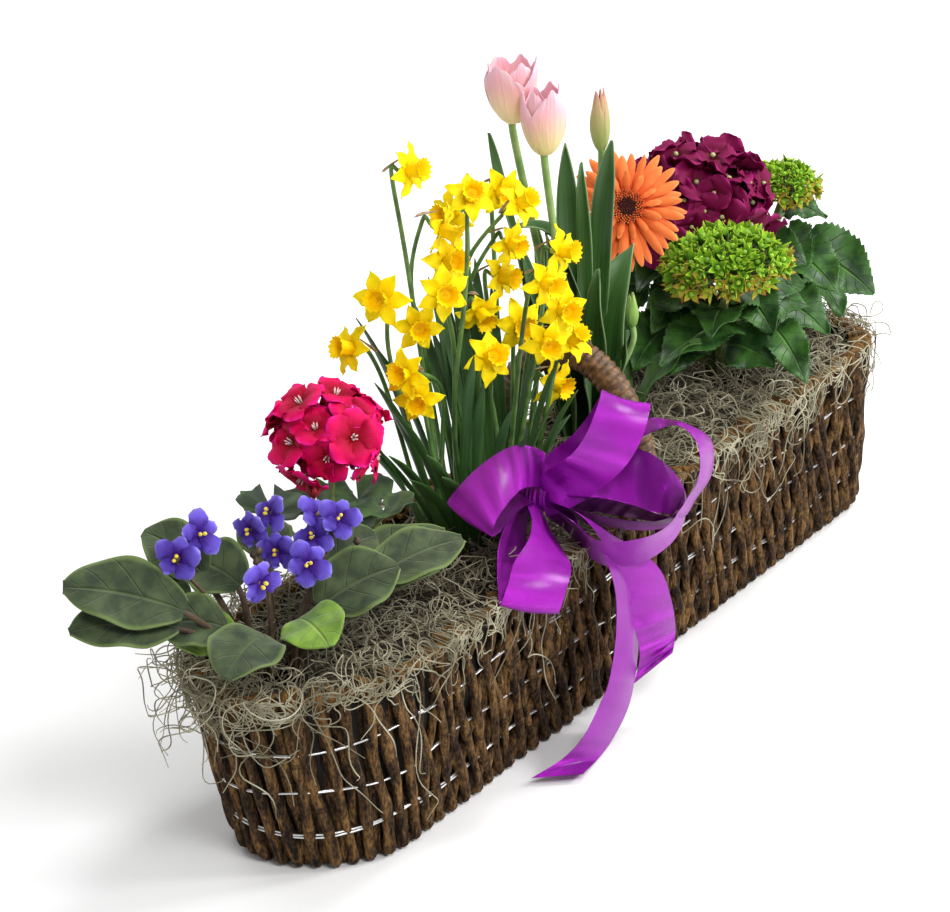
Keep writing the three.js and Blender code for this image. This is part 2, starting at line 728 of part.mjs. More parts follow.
// Bends the two middle points of a stem sideways until it passes clear of every bloom but its own
function bendClear(points, own) {
  const clearance = DAFFODIL.radius + 6;
  const rounds = 40;
  const samples = 16;
  for (let round = 0; round < rounds; round += 1) {
    const path = new THREE.CatmullRomCurve3(points, false, 'centripetal');
    for (const [x, y, z] of DAFFODILS) {
      const bloom = v(x, y, z);
      if (bloom.distanceTo(own) < 1) {
        continue;
      }
      for (let step = 2; step <= samples - 2; step += 1) {
        const t = step / samples;
        const away = path.getPoint(t).sub(bloom).setZ(0);
        const short = clearance - path.getPoint(t).distanceTo(bloom);
        if (short > 0) {
          away.normalize();
          points[1].addScaledVector(away, short * 0.3 * (1 - t));
          points[2].addScaledVector(away, short * 0.3 * t);
        }
      }
    }
  }
}

function daffodilStem([x, y, z, azimuth, elevation], base, draw) {
  const centre = v(x, y, z);
  const facing = direction(azimuth, elevation);
  const end = centre.clone().addScaledVector(facing, -DAFFODIL.tube - GAP);
  const neck = centre.clone().addScaledVector(facing, -DAFFODIL.tube - 6);
  const across = base.rx * 0.8;
  const foot = v(base.x + across * THREE.MathUtils.clamp((x - base.x) / 90, -1, 1), 0, STEM_FOOT);
  foot.y = base.y + base.ry * 0.7 * THREE.MathUtils.clamp((y - base.y) / 60, -1, 1) + 4 * (draw() - 0.5);
  const low = foot.clone().lerp(neck, 0.33);
  const high = foot.clone().lerp(neck, 0.72).add(v(0, 0, 6));
  bendClear([foot, low, high, neck], centre);
  return stalk([foot, low, high, neck, end], 2.1, { end: 1.7, sides: 3, steps: 5 });
}

// Strap leaves: where each leaf starts in the clump, its tip, and its width
const DAFFODIL_LEAVES = [
  [-170, 18, -215, 80, 280, 10],
  [-172, 10, -204, 84, 258, 10],
  [-168, 2, -232, 8, 246, 9],
  [-160, -8, -228, -22, 250, 10],
  [-160, 14, -206, 34, 290, 9],
  [-150, 24, -186, 60, 330, 10],
  [-140, 6, -150, -18, 300, 9],
  [-130, -12, -140, -42, 258, 10],
  [-124, 14, -116, 40, 342, 10],
  [-112, 26, -104, 60, 312, 10],
  [-104, -8, -86, -36, 266, 10],
  [-98, 14, -78, 44, 356, 10],
  [-86, 26, -66, 58, 308, 9],
  [-80, 0, -56, -20, 284, 10],
  [-74, 18, -34, 50, 330, 10],
  [-68, -12, -40, -40, 238, 9],
  [-62, 10, -20, 24, 216, 9],
  [-56, 22, -12, 46, 262, 10],
  [-60, 0, -16, -18, 206, 9],
];

function daffodilFoliage() {
  const base = PLUGS.daffodil;
  const draw = seeded(11);
  const parts = [plug(base, PLUG_BOTTOM, PLUG_TOP)];
  for (const bloom of DAFFODILS) {
    parts.push(daffodilStem(bloom, base, draw));
  }
  for (const [x, y, tipX, tipY, tipZ, width] of DAFFODIL_LEAVES) {
    const root = v(x, y, STEM_FOOT);
    const tip = v(tipX, tipY, tipZ);
    const middle = v(x + (tipX - x) * 0.25, y + (tipY - y) * 0.25, root.z + (tipZ - root.z) * 0.6);
    const face = v(base.x - tipX, base.y - tipY + 20, 40).normalize();
    const outline = OUTLINES.strap;
    parts.push(blade({ root, middle, tip, face, width, outline, fold: 0.12, thick: 1.2, rows: 3, cols: 1 }));
  }
  return fuse(parts);
}

// Tulips: broad leaves and straight stems, two open heads, a tall bud and a small green one

const TULIPS = [
  { centre: v(22, 44, 450), radius: 20, height: 52, open: 0.85 },
  { centre: v(10, 10, 434), radius: 19, height: 54, open: 0.7 },
  { centre: v(91, 8, 408), radius: 11, height: 48, open: 0.25 },
  { centre: v(84, -18, 258), radius: 7.5, height: 27, open: 0.2 },
];
const TULIP_LEAVES = [
  { tip: v(30, 72, 408), root: v(54, 30, 144), bulge: v(8, 8, 10), width: 22 },
  { tip: v(50, 16, 400), root: v(60, 18, 144), bulge: v(6, 0, 10), width: 24 },
  { tip: v(84, -6, 398), root: v(66, 12, 144), bulge: v(10, -4, 10), width: 24 },
  { tip: v(22, 78, 372), root: v(50, 26, 144), bulge: v(4, 12, 0), width: 24 },
  { tip: v(88, -8, 326), root: v(70, 14, 144), bulge: v(14, 0, 10), width: 36 },
  { tip: v(36, -10, 326), root: v(54, 12, 144), bulge: v(6, -6, 20), width: 30 },
  { tip: v(54, -40, 258), root: v(60, 8, 144), bulge: v(0, -14, 10), width: 24 },
  { tip: v(92, 50, 300), root: v(70, 26, 144), bulge: v(8, 10, 10), width: 28 },
];

function tulipFoliage() {
  const base = PLUGS.tulip;
  const parts = [plug(base, PLUG_BOTTOM, PLUG_TOP)];
  for (const { root, tip, bulge, width } of TULIP_LEAVES) {
    const middle = root.clone().lerp(tip, 0.45).add(bulge);
    const face = v(base.x - tip.x + 0.1, base.y - tip.y + 0.1, 30).normalize();
    const shape = { outline: OUTLINES.lance, fold: 0.25, wave: 1.5, thick: 1.4, rows: 3 };
    parts.push(blade({ root, middle, tip, face, width, ...shape }));
  }
  for (const { centre, height, radius } of TULIPS) {
    const top = centre.clone().add(v(0, 0, -height / 2 - GAP));
    const foot = v(base.x + (top.x - base.x) * 0.16, base.y + (top.y - base.y) * 0.16, STEM_FOOT);
    const middle = foot.clone().lerp(top, 0.5).add(v(3, 0, 0));
    const thickness = radius > 10 ? 3.2 : 2.4;
    const path = [foot, middle, top.clone().add(v(0, 0, -14)), top];
    parts.push(stalk(path, thickness, { sides: 3, steps: 5 }));
  }
  return fuse(parts);
}

// A head stands on its stem: a cup of three joined petals, and on an open head three outer petals round it
function tulipHead({ centre, radius, height, open }, number) {
  const bottom = centre.clone().add(v(0, 0, -height / 2));
  const profile = [
    [0, 0],
    [0.3, 0],
    [0.86, 0.3],
    [0.84, 0.62],
    [open * 0.9, 0.94],
    [0, 0.6],
  ];
  const cup = new THREE.LatheGeometry(profile.map(([r, h]) => new THREE.Vector2(r * radius, h * height)), 9);
  cup.rotateX(Math.PI / 2);
  const place = cup.attributes.position;
  for (let i = 0; i < place.count; i += 1) {
    const lobe = Math.cos(3 * Math.atan2(place.getY(i), place.getX(i)));
    const high = Math.max(0, place.getZ(i) / height - 0.6);
    const swell = 1 + 0.1 * lobe;
    const peak = place.getZ(i) + height * high * 0.2 * lobe;
    place.setXYZ(i, place.getX(i) * swell, place.getY(i) * swell, peak);
  }
  cup.rotateZ(-number);
  cup.translate(bottom.x, bottom.y, bottom.z);
  const parts = [cup];
  for (let i = 0; i < (open > 0.5 ? 3 : 0); i += 1) {
    const angle = (2 * Math.PI * i) / 3 + Math.PI / 3 - number;
    const outward = v(Math.cos(angle), Math.sin(angle), 0);
    const root = bottom.clone().addScaledVector(outward, radius * 0.2).add(v(0, 0, 1));
    const middle = bottom.clone().addScaledVector(outward, radius * 1.9).add(v(0, 0, height * 0.3));
    const tip = bottom.clone().addScaledVector(outward, radius * open).add(v(0, 0, height));
    const shape = { outline: OUTLINES.petal, fold: -0.3, thick: 1, rows: 3 };
    parts.push(blade({ root, middle, tip, face: outward, width: radius * 1.2, ...shape }));
  }
  return fuse(parts);
}

// Gerbera: two rings of narrow petals round a dark disc, on a bare stem

const GERBERA = { centre: v(138, 14, 322), azimuth: -150, elevation: 32, radius: 50, disc: 11 };

function gerberaFacing() {
  return direction(GERBERA.azimuth, GERBERA.elevation);
}

function gerberaPetals() {
  const parts = [];
  const collar = new THREE.CylinderGeometry(GERBERA.disc + 2, 5, 5, 12, 1);
  collar.rotateX(Math.PI / 2);
  collar.translate(0, 0, -3.2);
  parts.push(collar);
  const ring = { lobes: 16, perLobe: 2, notch: 16, cup: -3 };
  parts.push(whorl({ ...ring, radius: GERBERA.radius, height: -3.2 }));
  const inner = whorl({ ...ring, radius: GERBERA.radius * 0.84, height: -1.6 });
  inner.rotateZ(Math.PI / ring.lobes);
  parts.push(inner);
  return fuse(parts.map((part) => aim(part, GERBERA.centre, gerberaFacing())));
}

function gerberaDisc() {
  const profile = [
    [0, 0],
    [GERBERA.disc, 0],
    [GERBERA.disc + 1, 1.5],
    [GERBERA.disc * 0.5, 4.5],
    [0, 4.5],
  ];
  const disc = new THREE.LatheGeometry(profile.map(([r, h]) => new THREE.Vector2(r, h)), 10);
  disc.rotateX(Math.PI / 2);
  disc.translate(0, 0, GAP - 0.7);
  return aim(disc, GERBERA.centre, gerberaFacing());
}

const GERBERA_LEAVES = [
  { root: v(132, 28, 150), tip: v(168, 66, 208), width: 34 },
  { root: v(124, 30, 150), tip: v(116, 74, 216), width: 34 },
  { root: v(134, 16, 150), tip: v(172, -30, 204), width: 32 },
];

function gerberaFoliage() {
  const base = PLUGS.gerbera;
  const facing = gerberaFacing();
  const parts = [plug(base, PLUG_BOTTOM, PLUG_TOP)];
  const end = GERBERA.centre.clone().addScaledVector(facing, -5.7 - GAP);
  const neck = end.clone().addScaledVector(facing, -8);
  const bend = neck.clone().addScaledVector(facing, -8).add(v(0, 0, -14));
  const foot = v(base.x, base.y, STEM_FOOT);
  const middle = foot.clone().lerp(bend, 0.5).add(v(2, 4, 0));
  parts.push(stalk([foot, middle, bend, neck, end], 2.8, { steps: 8 }));
  for (const { root, tip, width } of GERBERA_LEAVES) {
    const low = v(root.x, root.y, STEM_FOOT);
    const middle = low.clone().lerp(tip, 0.5).add(v(0, 0, 24));
    const shape = { outline: OUTLINES.lance, fold: 0.2, wave: 2, thick: 1, rows: 4 };
    parts.push(blade({ root: low, middle, tip, face: UP, width, ...shape }));
  }
  return fuse(parts);
}

// Hydrangea: serrated leaves, a burgundy head, a green head in front and a small one behind

const HYDRANGEA_HEADS = {
  burgundy: { centre: v(267, 18, 290), radii: v(54, 54, 44) },
  front: { centre: v(189, -46, 266), radii: v(50, 46, 24) },
  back: { centre: v(366, -6, 272), radii: v(26, 26, 18) },
};
const HYDRANGEA_LEAVES = [
  { root: v(352, -22, 204), tip: v(446, -42, 160), width: 60 },
  { root: v(340, 10, 216), tip: v(424, 24, 214), width: 58 },
  { root: v(310, -40, 196), tip: v(388, -62, 168), width: 56 },
  { root: v(196, -30, 206), tip: v(118, -68, 196), width: 66 },
  { root: v(214, 8, 214), tip: v(152, 10, 232), width: 50 },
  { root: v(230, -42, 200), tip: v(226, -98, 172), width: 56 },
  { root: v(282, -44, 208), tip: v(308, -100, 176), width: 58 },
  { root: v(250, 60, 214), tip: v(216, 112, 206), width: 56 },
  { root: v(300, 60, 214), tip: v(346, 106, 204), width: 58 },
  { root: v(196, 36, 192), tip: v(146, 76, 190), width: 54 },
];

function hydrangeaFoliage() {
  const base = PLUGS.hydrangea;
  const parts = [plug(base, PLUG_BOTTOM, PLUG_TOP)];
  const start = v(base.x, base.y, STEM_FOOT);
  for (const { root, tip, width } of HYDRANGEA_LEAVES) {
    const middle = root.clone().lerp(tip, 0.5).add(v(0, 0, 12));
    const shape = { outline: OUTLINES.heart, fold: 0.2, wave: 2.5, waves: 3, thick: 1, rows: 3 };
    parts.push(blade({ root, middle, tip, face: UP, width, ...shape }));
    const inward = root.clone().sub(tip).normalize();
    const knee = start.clone().lerp(root, 0.5).add(v(0, 0, 6));
    parts.push(stalk([start, knee, root.clone().addScaledVector(inward, -12)], 2.6, { sides: 3, steps: 3 }));
  }
  for (const head of Object.values(HYDRANGEA_HEADS)) {
    const top = headSeat(head);
    const middle = start.clone().lerp(top, 0.5).add(v(0, 0, -4));
    parts.push(stalk([start, middle, top.clone().add(v(0, 0, -12)), top], 3.6, { end: 3, steps: 4 }));
  }
  return fuse(parts);
}

function burgundyHead() {
  const floret = () => funnel({ lobes: 4, perLobe: 2, radius: 21, notch: 10, depth: 12 });
  return floretHead({ ...HYDRANGEA_HEADS.burgundy, count: 17, lowest: -0.5, floret, seed: 3 });
}

function greenHead(name, count) {
  const floret = () => funnel({ lobes: 4, perLobe: 0, radius: 9, notch: 9, depth: 11 });
  return floretHead({ ...HYDRANGEA_HEADS[name], count, lowest: -0.1, floret, seed: 8 });
}

// Moss: a blanket over the soil that fills the basket to its rim, with wisps that hang over it

const MOSS_WISPS = [
  [20, 34, 8],
  [70, 22, 10],
  [330, 30, 8],
  [470, 24, 8],
  [560, 38, 10],
  [640, 46, 16],
  [2 * BASKET.halfStraight + 60, 50, 30],
  [2 * BASKET.halfStraight + 110, 44, 34],
  [-30, 40, 16],
  [-80, 50, 30],
  [-130, 58, 38],
  [-180, 50, 36],
  [-220, 30, 26],
];

function mossWisp([distance, drop, reach]) {
  const rim = BASKET.height;
  const inside = troughPoint(distance, MOSS.top, 16).setZ(MOSS.top + 0.5);
  const over = troughPoint(distance, rim, -2).setZ(MOSS.overRim + 1.5);
  const out = troughPoint(distance + 6, rim, -8 - reach * 0.6).setZ(rim);
  const low = troughPoint(distance - 4, rim, -8 - reach).setZ(rim - drop);
  return stalk([inside, over, out, low], 3, { end: 1.2, sides: 3, steps: 4 });
}

function mossBlanket() {
  const fill = plainBlock([SOIL_TOP + GAP, MOSS.top - 1], BASKET.wall + LINER.thickness + 3 * GAP);
  const draw = seeded(21);
  const columns = 28;
  const through = MOSS.top + 50;
  const offsets = Array.from({ length: columns }, () => 9 - 13 * draw());
  const cap = troughBlock(columns, [0, 1], (column, level) => {
    const inset = offsets[column] + (level ? 4 : 0);
    const z = level ? MOSS.overRim : BASKET.height + MOSS.rimGap;
    return { distance: (LAP * column) / columns, inset, z };
  });
  const parts = [fill, solidOf(cap)];
  for (let i = 0; i < MOSS.lumps; i += 1) {
    const lump = new THREE.IcosahedronGeometry(1, 0);
    lump.scale(18 + 12 * draw(), 14 + 6 * draw(), 5 + 5 * draw());
    const x = BASKET.halfStraight * ((2 * i + 1) / MOSS.lumps - 1);
    const y = (i % 2 === 0 ? -1 : 1) * (46 + 8 * draw());
    lump.translate(x, y, MOSS.top + 2);
    parts.push(solidOf(lump));
  }
  parts.push(...MOSS_WISPS.map((wisp) => solidOf(mossWisp(wisp))));
  let blanket = wasm.Manifold.union(parts);
  for (const place of Object.values(PLUGS)) {
    blanket = blanket.subtract(solidOf(plug(place, PLUG_BOTTOM, through, MOSS.clear)));
  }
  blanket = blanket.subtract(solidOf(handle(1)));
  blanket = blanket.subtract(solidOf(bowPick(GAP)));
  return mainBody(blanket);
}

// The pick that holds the bow: a thin stick from the knot down into the soil
function bowPick(grow = 0) {
  const top = v(KNOT.x, KNOT.y, KNOT.z - KNOT_RADIUS - GAP + grow);
  const foot = v(KNOT.x - 6, KNOT.y + 4, SOIL_TOP - 36 - grow);
  return stalk([foot, foot.clone().lerp(top, 0.5), top], 2 + grow, { end: 2 + grow, sides: 6, steps: 1 });
}

// Assembly

function soil() {
  const bottom = BASKET.floor + GAP + BOARD.thickness + GAP + LINER.thickness + GAP;
  let body = plainBlock([bottom, SOIL_TOP], BASKET.wall + GAP + LINER.thickness + GAP);
  for (const place of Object.values(PLUGS)) {
    body = body.subtract(solidOf(plug(place, PLUG_BOTTOM - GAP, SOIL_TOP + 1, GAP)));
  }
  body = body.subtract(solidOf(handle(GAP)));
  return mainBody(body.subtract(solidOf(bowPick(GAP))));
}

function liner() {
  const bottom = BASKET.floor + GAP + BOARD.thickness + GAP;
  const inset = BASKET.wall + GAP;
  const outside = plainBlock([bottom, LINER.top], inset);
  const inside = plainBlock([bottom + LINER.thickness, LINER.top + 1], inset + LINER.thickness);
  return mainBody(outside.subtract(inside).subtract(solidOf(handle(GAP))));
}

const basket = new THREE.Group();

function add(name, shape, colour, { roughness = 0.7, metalness = 0 } = {}) {
  const geometry = shape instanceof wasm.Manifold ? geometryOf(shape) : shape;
  const material = new THREE.MeshStandardMaterial({ color: colour, roughness, metalness });
  const mesh = new THREE.Mesh(geometry, material);
  mesh.name = name;
  basket.add(mesh);
}

add('basket_wall', basketWall(), COLOURS.vine, { roughness: 0.85 });
WIRE.heights.forEach((z, i) => {
  const name = ['lower', 'middle', 'upper'][i];
  add(`wire_${name}`, wireHoop(z), COLOURS.wire, { roughness: 0.35, metalness: 1 });
});
const boardBottom = BASKET.floor + GAP;
const boardTop = boardBottom + BOARD.thickness;
add('base_board', plainBlock([boardBottom, boardTop], BASKET.wall + GAP), COLOURS.board);
add('liner', liner(), COLOURS.liner, { roughness: 0.5 });
add('soil', soil(), COLOURS.soil, { roughness: 1 });
add('handle', handle(), COLOURS.handle);
add('moss', mossBlanket(), COLOURS.moss, { roughness: 0.95 });
add('bow_pick', bowPick(), COLOURS.pick);
add('ribbon_bow', bow(), COLOURS.ribbon, { roughness: 0.35 });
add('violet_leaves', violetFoliage(), COLOURS.violetLeaf);
VIOLET_TRUSSES.forEach((blooms, i) => {
  add(`violet_blooms_${i + 1}`, violetTruss(blooms, i), COLOURS.violetBloom);
});
add('geranium_leaves', geraniumFoliage(), COLOURS.leaf);
add('geranium_head', geraniumHead(), COLOURS.geranium);
add('daffodil_leaves', daffodilFoliage(), COLOURS.leaf);
DAFFODILS.forEach((bloom, i) => {
  const number = String(i + 1).padStart(2, '0');
  add(`daffodil_bloom_${number}`, daffodilBloom(bloom, i), COLOURS.daffodil);
});
add('tulip_leaves', tulipFoliage(), COLOURS.leaf);
TULIPS.forEach((tulip, i) => {
  add(`tulip_head_${i + 1}`, tulipHead(tulip, i), i < 2 ? COLOURS.tulip : COLOURS.tulipGreen);
});
add('gerbera_leaves', gerberaFoliage(), COLOURS.leaf);
add('gerbera_petals', gerberaPetals(), COLOURS.gerbera);
add('gerbera_disc', gerberaDisc(), COLOURS.disc);
add('hydrangea_leaves', hydrangeaFoliage(), COLOURS.darkLeaf);
add('hydrangea_head_burgundy', burgundyHead(), COLOURS.burgundy);
add('hydrangea_head_front', greenHead('front', 24), COLOURS.greenHead);
add('hydrangea_head_back', greenHead('back', 12), COLOURS.greenHead);

export default basket;
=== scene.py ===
import bpy
import bmesh
import math
import random
from mathutils import Matrix, Quaternion, Vector


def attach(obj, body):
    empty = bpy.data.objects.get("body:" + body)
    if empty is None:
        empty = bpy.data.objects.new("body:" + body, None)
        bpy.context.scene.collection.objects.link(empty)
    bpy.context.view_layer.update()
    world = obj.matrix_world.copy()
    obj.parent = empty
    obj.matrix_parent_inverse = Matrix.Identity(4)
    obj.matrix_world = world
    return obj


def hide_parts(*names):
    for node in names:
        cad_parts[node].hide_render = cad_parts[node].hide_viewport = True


# A long vine basket with a hoop handle, planted with spring flowers and tied with a ribbon bow.
# Metres, +Z up. The basket stands on the floor, +X runs to its far end, and the bow is on the -Y side.

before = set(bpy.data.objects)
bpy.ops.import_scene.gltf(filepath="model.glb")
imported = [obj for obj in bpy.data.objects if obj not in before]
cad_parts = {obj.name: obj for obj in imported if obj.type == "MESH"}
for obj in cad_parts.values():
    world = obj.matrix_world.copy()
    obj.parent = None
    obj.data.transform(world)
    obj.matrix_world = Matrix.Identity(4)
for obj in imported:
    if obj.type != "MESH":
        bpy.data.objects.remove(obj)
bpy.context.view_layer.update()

UP = Vector((0, 0, 1))
SUNWARD = Vector((-0.79, -0.47, 0.40))
GOLDEN_ANGLE = math.pi * (3 - math.sqrt(5))


def mm(*place):
    """A point given in millimetres"""
    return Vector([number / 1000 for number in place])


def spoke(angle):
    """The level unit vector at an angle from +X towards +Y"""
    return Vector((math.cos(angle), math.sin(angle), 0))


def scatter(draw, *spreads):
    """A random vector with a spread along each axis"""
    return Vector([draw.gauss(0, spread) for spread in spreads])


# The basket: a straight trough with half-elliptical ends, whose walls lean outwards towards the rim
HALF_STRAIGHT = 0.342
NEAR_END, NEAR_FLARE = 0.077, 0.045
FAR_END, FAR_FLARE = 0.067, 0.003
HALF_WIDTH, SIDE_FLARE = 0.071, 0.016
HEIGHT = 0.148
NEAR_ARC = math.pi / 2 * (NEAR_END + HALF_WIDTH + 0.025)
FAR_ARC = math.pi / 2 * (FAR_END + HALF_WIDTH + 0.008)
LAP = 4 * HALF_STRAIGHT + NEAR_ARC + FAR_ARC
STAKES = 112
STAKE_LEAN = 0.052
STAKE_RADIUS = 0.0049
WIRE_HEIGHTS = {"lower": 0.033, "middle": 0.067, "upper": 0.104}
WIRE_STEPS = 184
MOSS_TOP = 0.150
MOSS_RADIUS = 0.0005
PLANTED = 144

# The handle: a hoop across the basket
HANDLE_X = 0.012
HANDLE_SPAN = 0.064
HANDLE_APEX = 0.246
HANDLE_FOOT = 0.078
HANDLE_RADIUS = 0.0115
HANDLE_TURNS = 50

# The ribbon and its knot
RIBBON_THICKNESS = 0.0003
KNOT = mm(-124, -50, 185)


# Camera, lights and floor

# The camera stands at an azimuth, elevation and distance, and its back is turned to an azimuth and elevation
CAMERA_STAND = (-148.91, 24.0, 3.5)
CAMERA_BACK = (-147.69, 21.46)
CAMERA_ROLL = math.radians(3.0)
PHOTO_WIDTH = 950
FOCAL_PIXELS = 4428
LIT_POINT = Vector((-0.05, 0, 0.15))

# Each soft light: place, size and watts
LIGHTS = {
    "key_light": ((-1.6, -1.9, 2.6), 1.0, 52),
    "glint_light": ((0.6, -2.3, 1.7), 0.5, 24),
    "side_light": ((1.45, -1.8, 1.55), 0.55, 32),
    "top_light": ((1.3, -0.3, 2.4), 0.55, 32),
    "back_light": ((0.8, 2.0, 2.0), 1.6, 22),
}


def direction(azimuth, elevation):
    """The unit vector at an azimuth from +X towards +Y and an elevation above the floor, in degrees"""
    a, e = math.radians(azimuth), math.radians(elevation)
    return Vector((math.cos(e) * math.cos(a), math.cos(e) * math.sin(a), math.sin(e)))


def placed(name, data):
    """A new object in the scene"""
    made = bpy.data.objects.new(name, data)
    bpy.context.scene.collection.objects.link(made)
    return made


def mesh_of(name, bm):
    mesh = bpy.data.meshes.new(name)
    bm.to_mesh(mesh)
    bm.free()
    return mesh


def camera():
    """The photograph's viewing angle: a long lens, from the near end and above, rolled by three degrees"""
    azimuth, elevation, distance = CAMERA_STAND
    back = direction(*CAMERA_BACK)
    right = UP.cross(back).normalized()
    up = back.cross(right)
    level = right * math.cos(CAMERA_ROLL) - up * math.sin(CAMERA_ROLL)
    lift = up * math.cos(CAMERA_ROLL) + right * math.sin(CAMERA_ROLL)
    data = bpy.data.cameras.new("photo_camera")
    data.sensor_width = 36
    data.lens = FOCAL_PIXELS / PHOTO_WIDTH * data.sensor_width
    data.clip_start, data.clip_end = 0.1, 50
    made = placed("photo_camera", data)
    made.matrix_world = Matrix((level, lift, back)).transposed().to_4x4()
    made.location = direction(azimuth, elevation) * distance
    bpy.context.scene.camera = made


def studio():
    """Five soft lights, a grey world and a plain pale floor"""
    for name, (place, size, watts) in LIGHTS.items():
        data = bpy.data.lights.new(name, "AREA")
        data.size, data.energy = size, watts
        made = placed(name, data)
        made.location = place
        made.rotation_mode = "QUATERNION"
        made.rotation_quaternion = (LIT_POINT - Vector(place)).to_track_quat("-Z", "Y")
    bpy.context.scene.view_settings.view_transform = "Standard"
    world = bpy.data.worlds.new("studio")
    world.use_nodes = True
    world.node_tree.nodes["Background"].inputs["Color"].default_value = (1, 1, 1, 1)
    world.node_tree.nodes["Background"].inputs["Strength"].default_value = 0.42
    bpy.context.scene.world = world
    bm = bmesh.new()
    bmesh.ops.create_grid(bm, x_segments=1, y_segments=1, size=12)
    floor = placed("floor", mesh_of("floor", bm))
    pale = material("pale_floor", lambda s: {"Base Color": (0.93, 0.93, 0.93, 1), "Roughness": 0.9})
    floor.data.materials.append(pale)


# Materials

class Shade:
    """A socket of a material's nodes, which works like a number"""

    def __init__(self, tree, socket=None):
        self.tree, self.socket = tree, socket

    def node(self, kind, values=None, output=0, stops=None, **settings):
        made = self.tree.nodes.new("ShaderNode" + kind)
        for name, value in settings.items():
            setattr(made, name, value)
        if stops:
            ramp = made.color_ramp
            while len(ramp.elements) < len(stops):
                ramp.elements.new(0.5)
            for element, (place, colour) in zip(ramp.elements, stops):
                element.position, element.color = place, (*colour, 1)
        for name, value in (values or {}).items():
            if isinstance(value, Shade):
                self.tree.links.new(value.socket, made.inputs[name])
            else:
                made.inputs[name].default_value = value
        return Shade(self.tree, made.outputs[output])

    def maths(self, operation, first, second=0.0):
        return self.node("Math", {0: first, 1: second}, operation=operation)

    def __add__(self, other): return self.maths("ADD", self, other)
    def __sub__(self, other): return self.maths("SUBTRACT", self, other)
    def __rsub__(self, other): return self.maths("SUBTRACT", other, self)
    def __mul__(self, other): return self.maths("MULTIPLY", self, other)
    def __abs__(self): return self.maths("ABSOLUTE", self)
    __radd__, __rmul__ = __add__, __mul__

    def part(self, source, output):
        """One coordinate of a place on the object, or on the piece's UV map"""
        return self.node("SeparateXYZ", {0: self.node("TexCoord", output=source)}, output=output)

    def noise(self, scale, detail=3.0, stretch=(1, 1, 1), source="Object"):
        """A noise from 0 to 1 on the object's own place, or on the piece's UV map"""
        place = self.node("TexCoord", output=source)
        place = self.node("Mapping", {"Vector": place, "Scale": stretch})
        return self.node("TexNoise", {"Vector": place, "Scale": scale, "Detail": detail})

    def blend(self, first, second, share):
        """From the first colour to the second"""
        ends = [value if isinstance(value, Shade) else (*value, 1) for value in (first, second)]
        return self.node("Mix", {0: share, 6: ends[0], 7: ends[1]}, output=2, data_type="RGBA")

    def ramp(self, share, stops):
        return self.node("ValToRGB", {0: share}, stops=stops)

    def edge(self, value, low, high):
        """0 below low, 1 above high"""
        return self.node("MapRange", {0: value, 1: low, 2: high}, interpolation_type="SMOOTHSTEP")

    def bump(self, height, distance, strength=1.0):
        return self.node("Bump", {"Height": height, "Distance": distance, "Strength": strength})

    def across(self):
        """0 on a blade's middle line and 1 at its edges"""
        return abs(self.part("UV", 0) - 0.5) * 2

    def along(self):
        """0 at a blade's root and 1 at its tip"""
        return self.part("UV", 1)


def material(name, paint):
    made = bpy.data.materials.new(name)
    made.use_nodes = True
    tree = made.node_tree
    surface = tree.nodes["Principled BSDF"]
    for socket, value in paint(Shade(tree)).items():
        if isinstance(value, Shade):
            tree.links.new(value.socket, surface.inputs[socket])
        else:
            surface.inputs[socket].default_value = value
    return made


def vine(s):
    """Dark peeled vine: long streaks, rings at the joints, and a golden rim where the stakes fold over"""
    streak = s.noise(150, 4, (1, 1, 0.12))
    ring = s.edge(s.noise(90, 2, (0.25, 0.25, 1)), 0.62, 0.7)
    grit = s.noise(520, 4, (1, 1, 0.4))
    speck = streak * 0.6 + grit * 0.4
    dark = s.ramp(speck, [(0.40, (0.009, 0.004, 0.0015)), (0.5, (0.070, 0.035, 0.012)), (0.64, (0.25, 0.135, 0.045))])
    warm = s.ramp(speck, [(0.36, (0.060, 0.026, 0.007)), (0.64, (0.32, 0.165, 0.045))])
    folded = s.edge(s.part("Object", 2) + s.noise(24, 3) * 0.02, 0.146, 0.158)
    tone = s.blend(s.blend(dark, warm, folded), (0.035, 0.018, 0.009), ring * 0.55)
    return {"Base Color": tone, "Roughness": 0.7 + streak * 0.2, "Specular IOR Level": 0.2,
            "Normal": s.bump(streak + grit - ring * 0.8, 0.0034)}


def bound_vine(s):
    """The paler, more golden vine that the handle is bound with"""
    streak = s.noise(190, 4)
    tone = s.ramp(streak, [(0.3, (0.035, 0.015, 0.006)), (0.5, (0.12, 0.058, 0.022)), (0.72, (0.27, 0.145, 0.06))])
    return {"Base Color": tone, "Roughness": 0.5, "Normal": s.bump(streak, 0.0008, 0.7)}


def galvanised(s):
    spot = s.noise(400, 2)
    return {"Base Color": s.blend((0.62, 0.62, 0.62), (0.86, 0.86, 0.85), spot), "Metallic": 0.9,
            "Roughness": 0.22 + spot * 0.2}


def dry_moss(s):
    fade = s.noise(30, 2)
    tone = s.ramp(fade, [(0.3, (0.11, 0.095, 0.055)), (0.5, (0.27, 0.245, 0.16)), (0.72, (0.50, 0.48, 0.35))])
    return {"Base Color": tone, "Roughness": 0.9}


def potting_soil(s):
    crumb = s.noise(260, 5)
    tone = s.ramp(crumb, [(0.35, (0.010, 0.007, 0.005)), (0.65, (0.060, 0.038, 0.022)), (0.8, (0.14, 0.09, 0.05))])
    return {"Base Color": tone, "Roughness": 0.95, "Normal": s.bump(crumb, 0.003)}


def black_film(s):
    crease = s.noise(60, 4)
    return {"Base Color": s.blend((0.005, 0.004, 0.003), (0.014, 0.011, 0.008), crease), "Roughness": 0.65,
            "Specular IOR Level": 0.25, "Normal": s.bump(crease, 0.002, 0.5)}


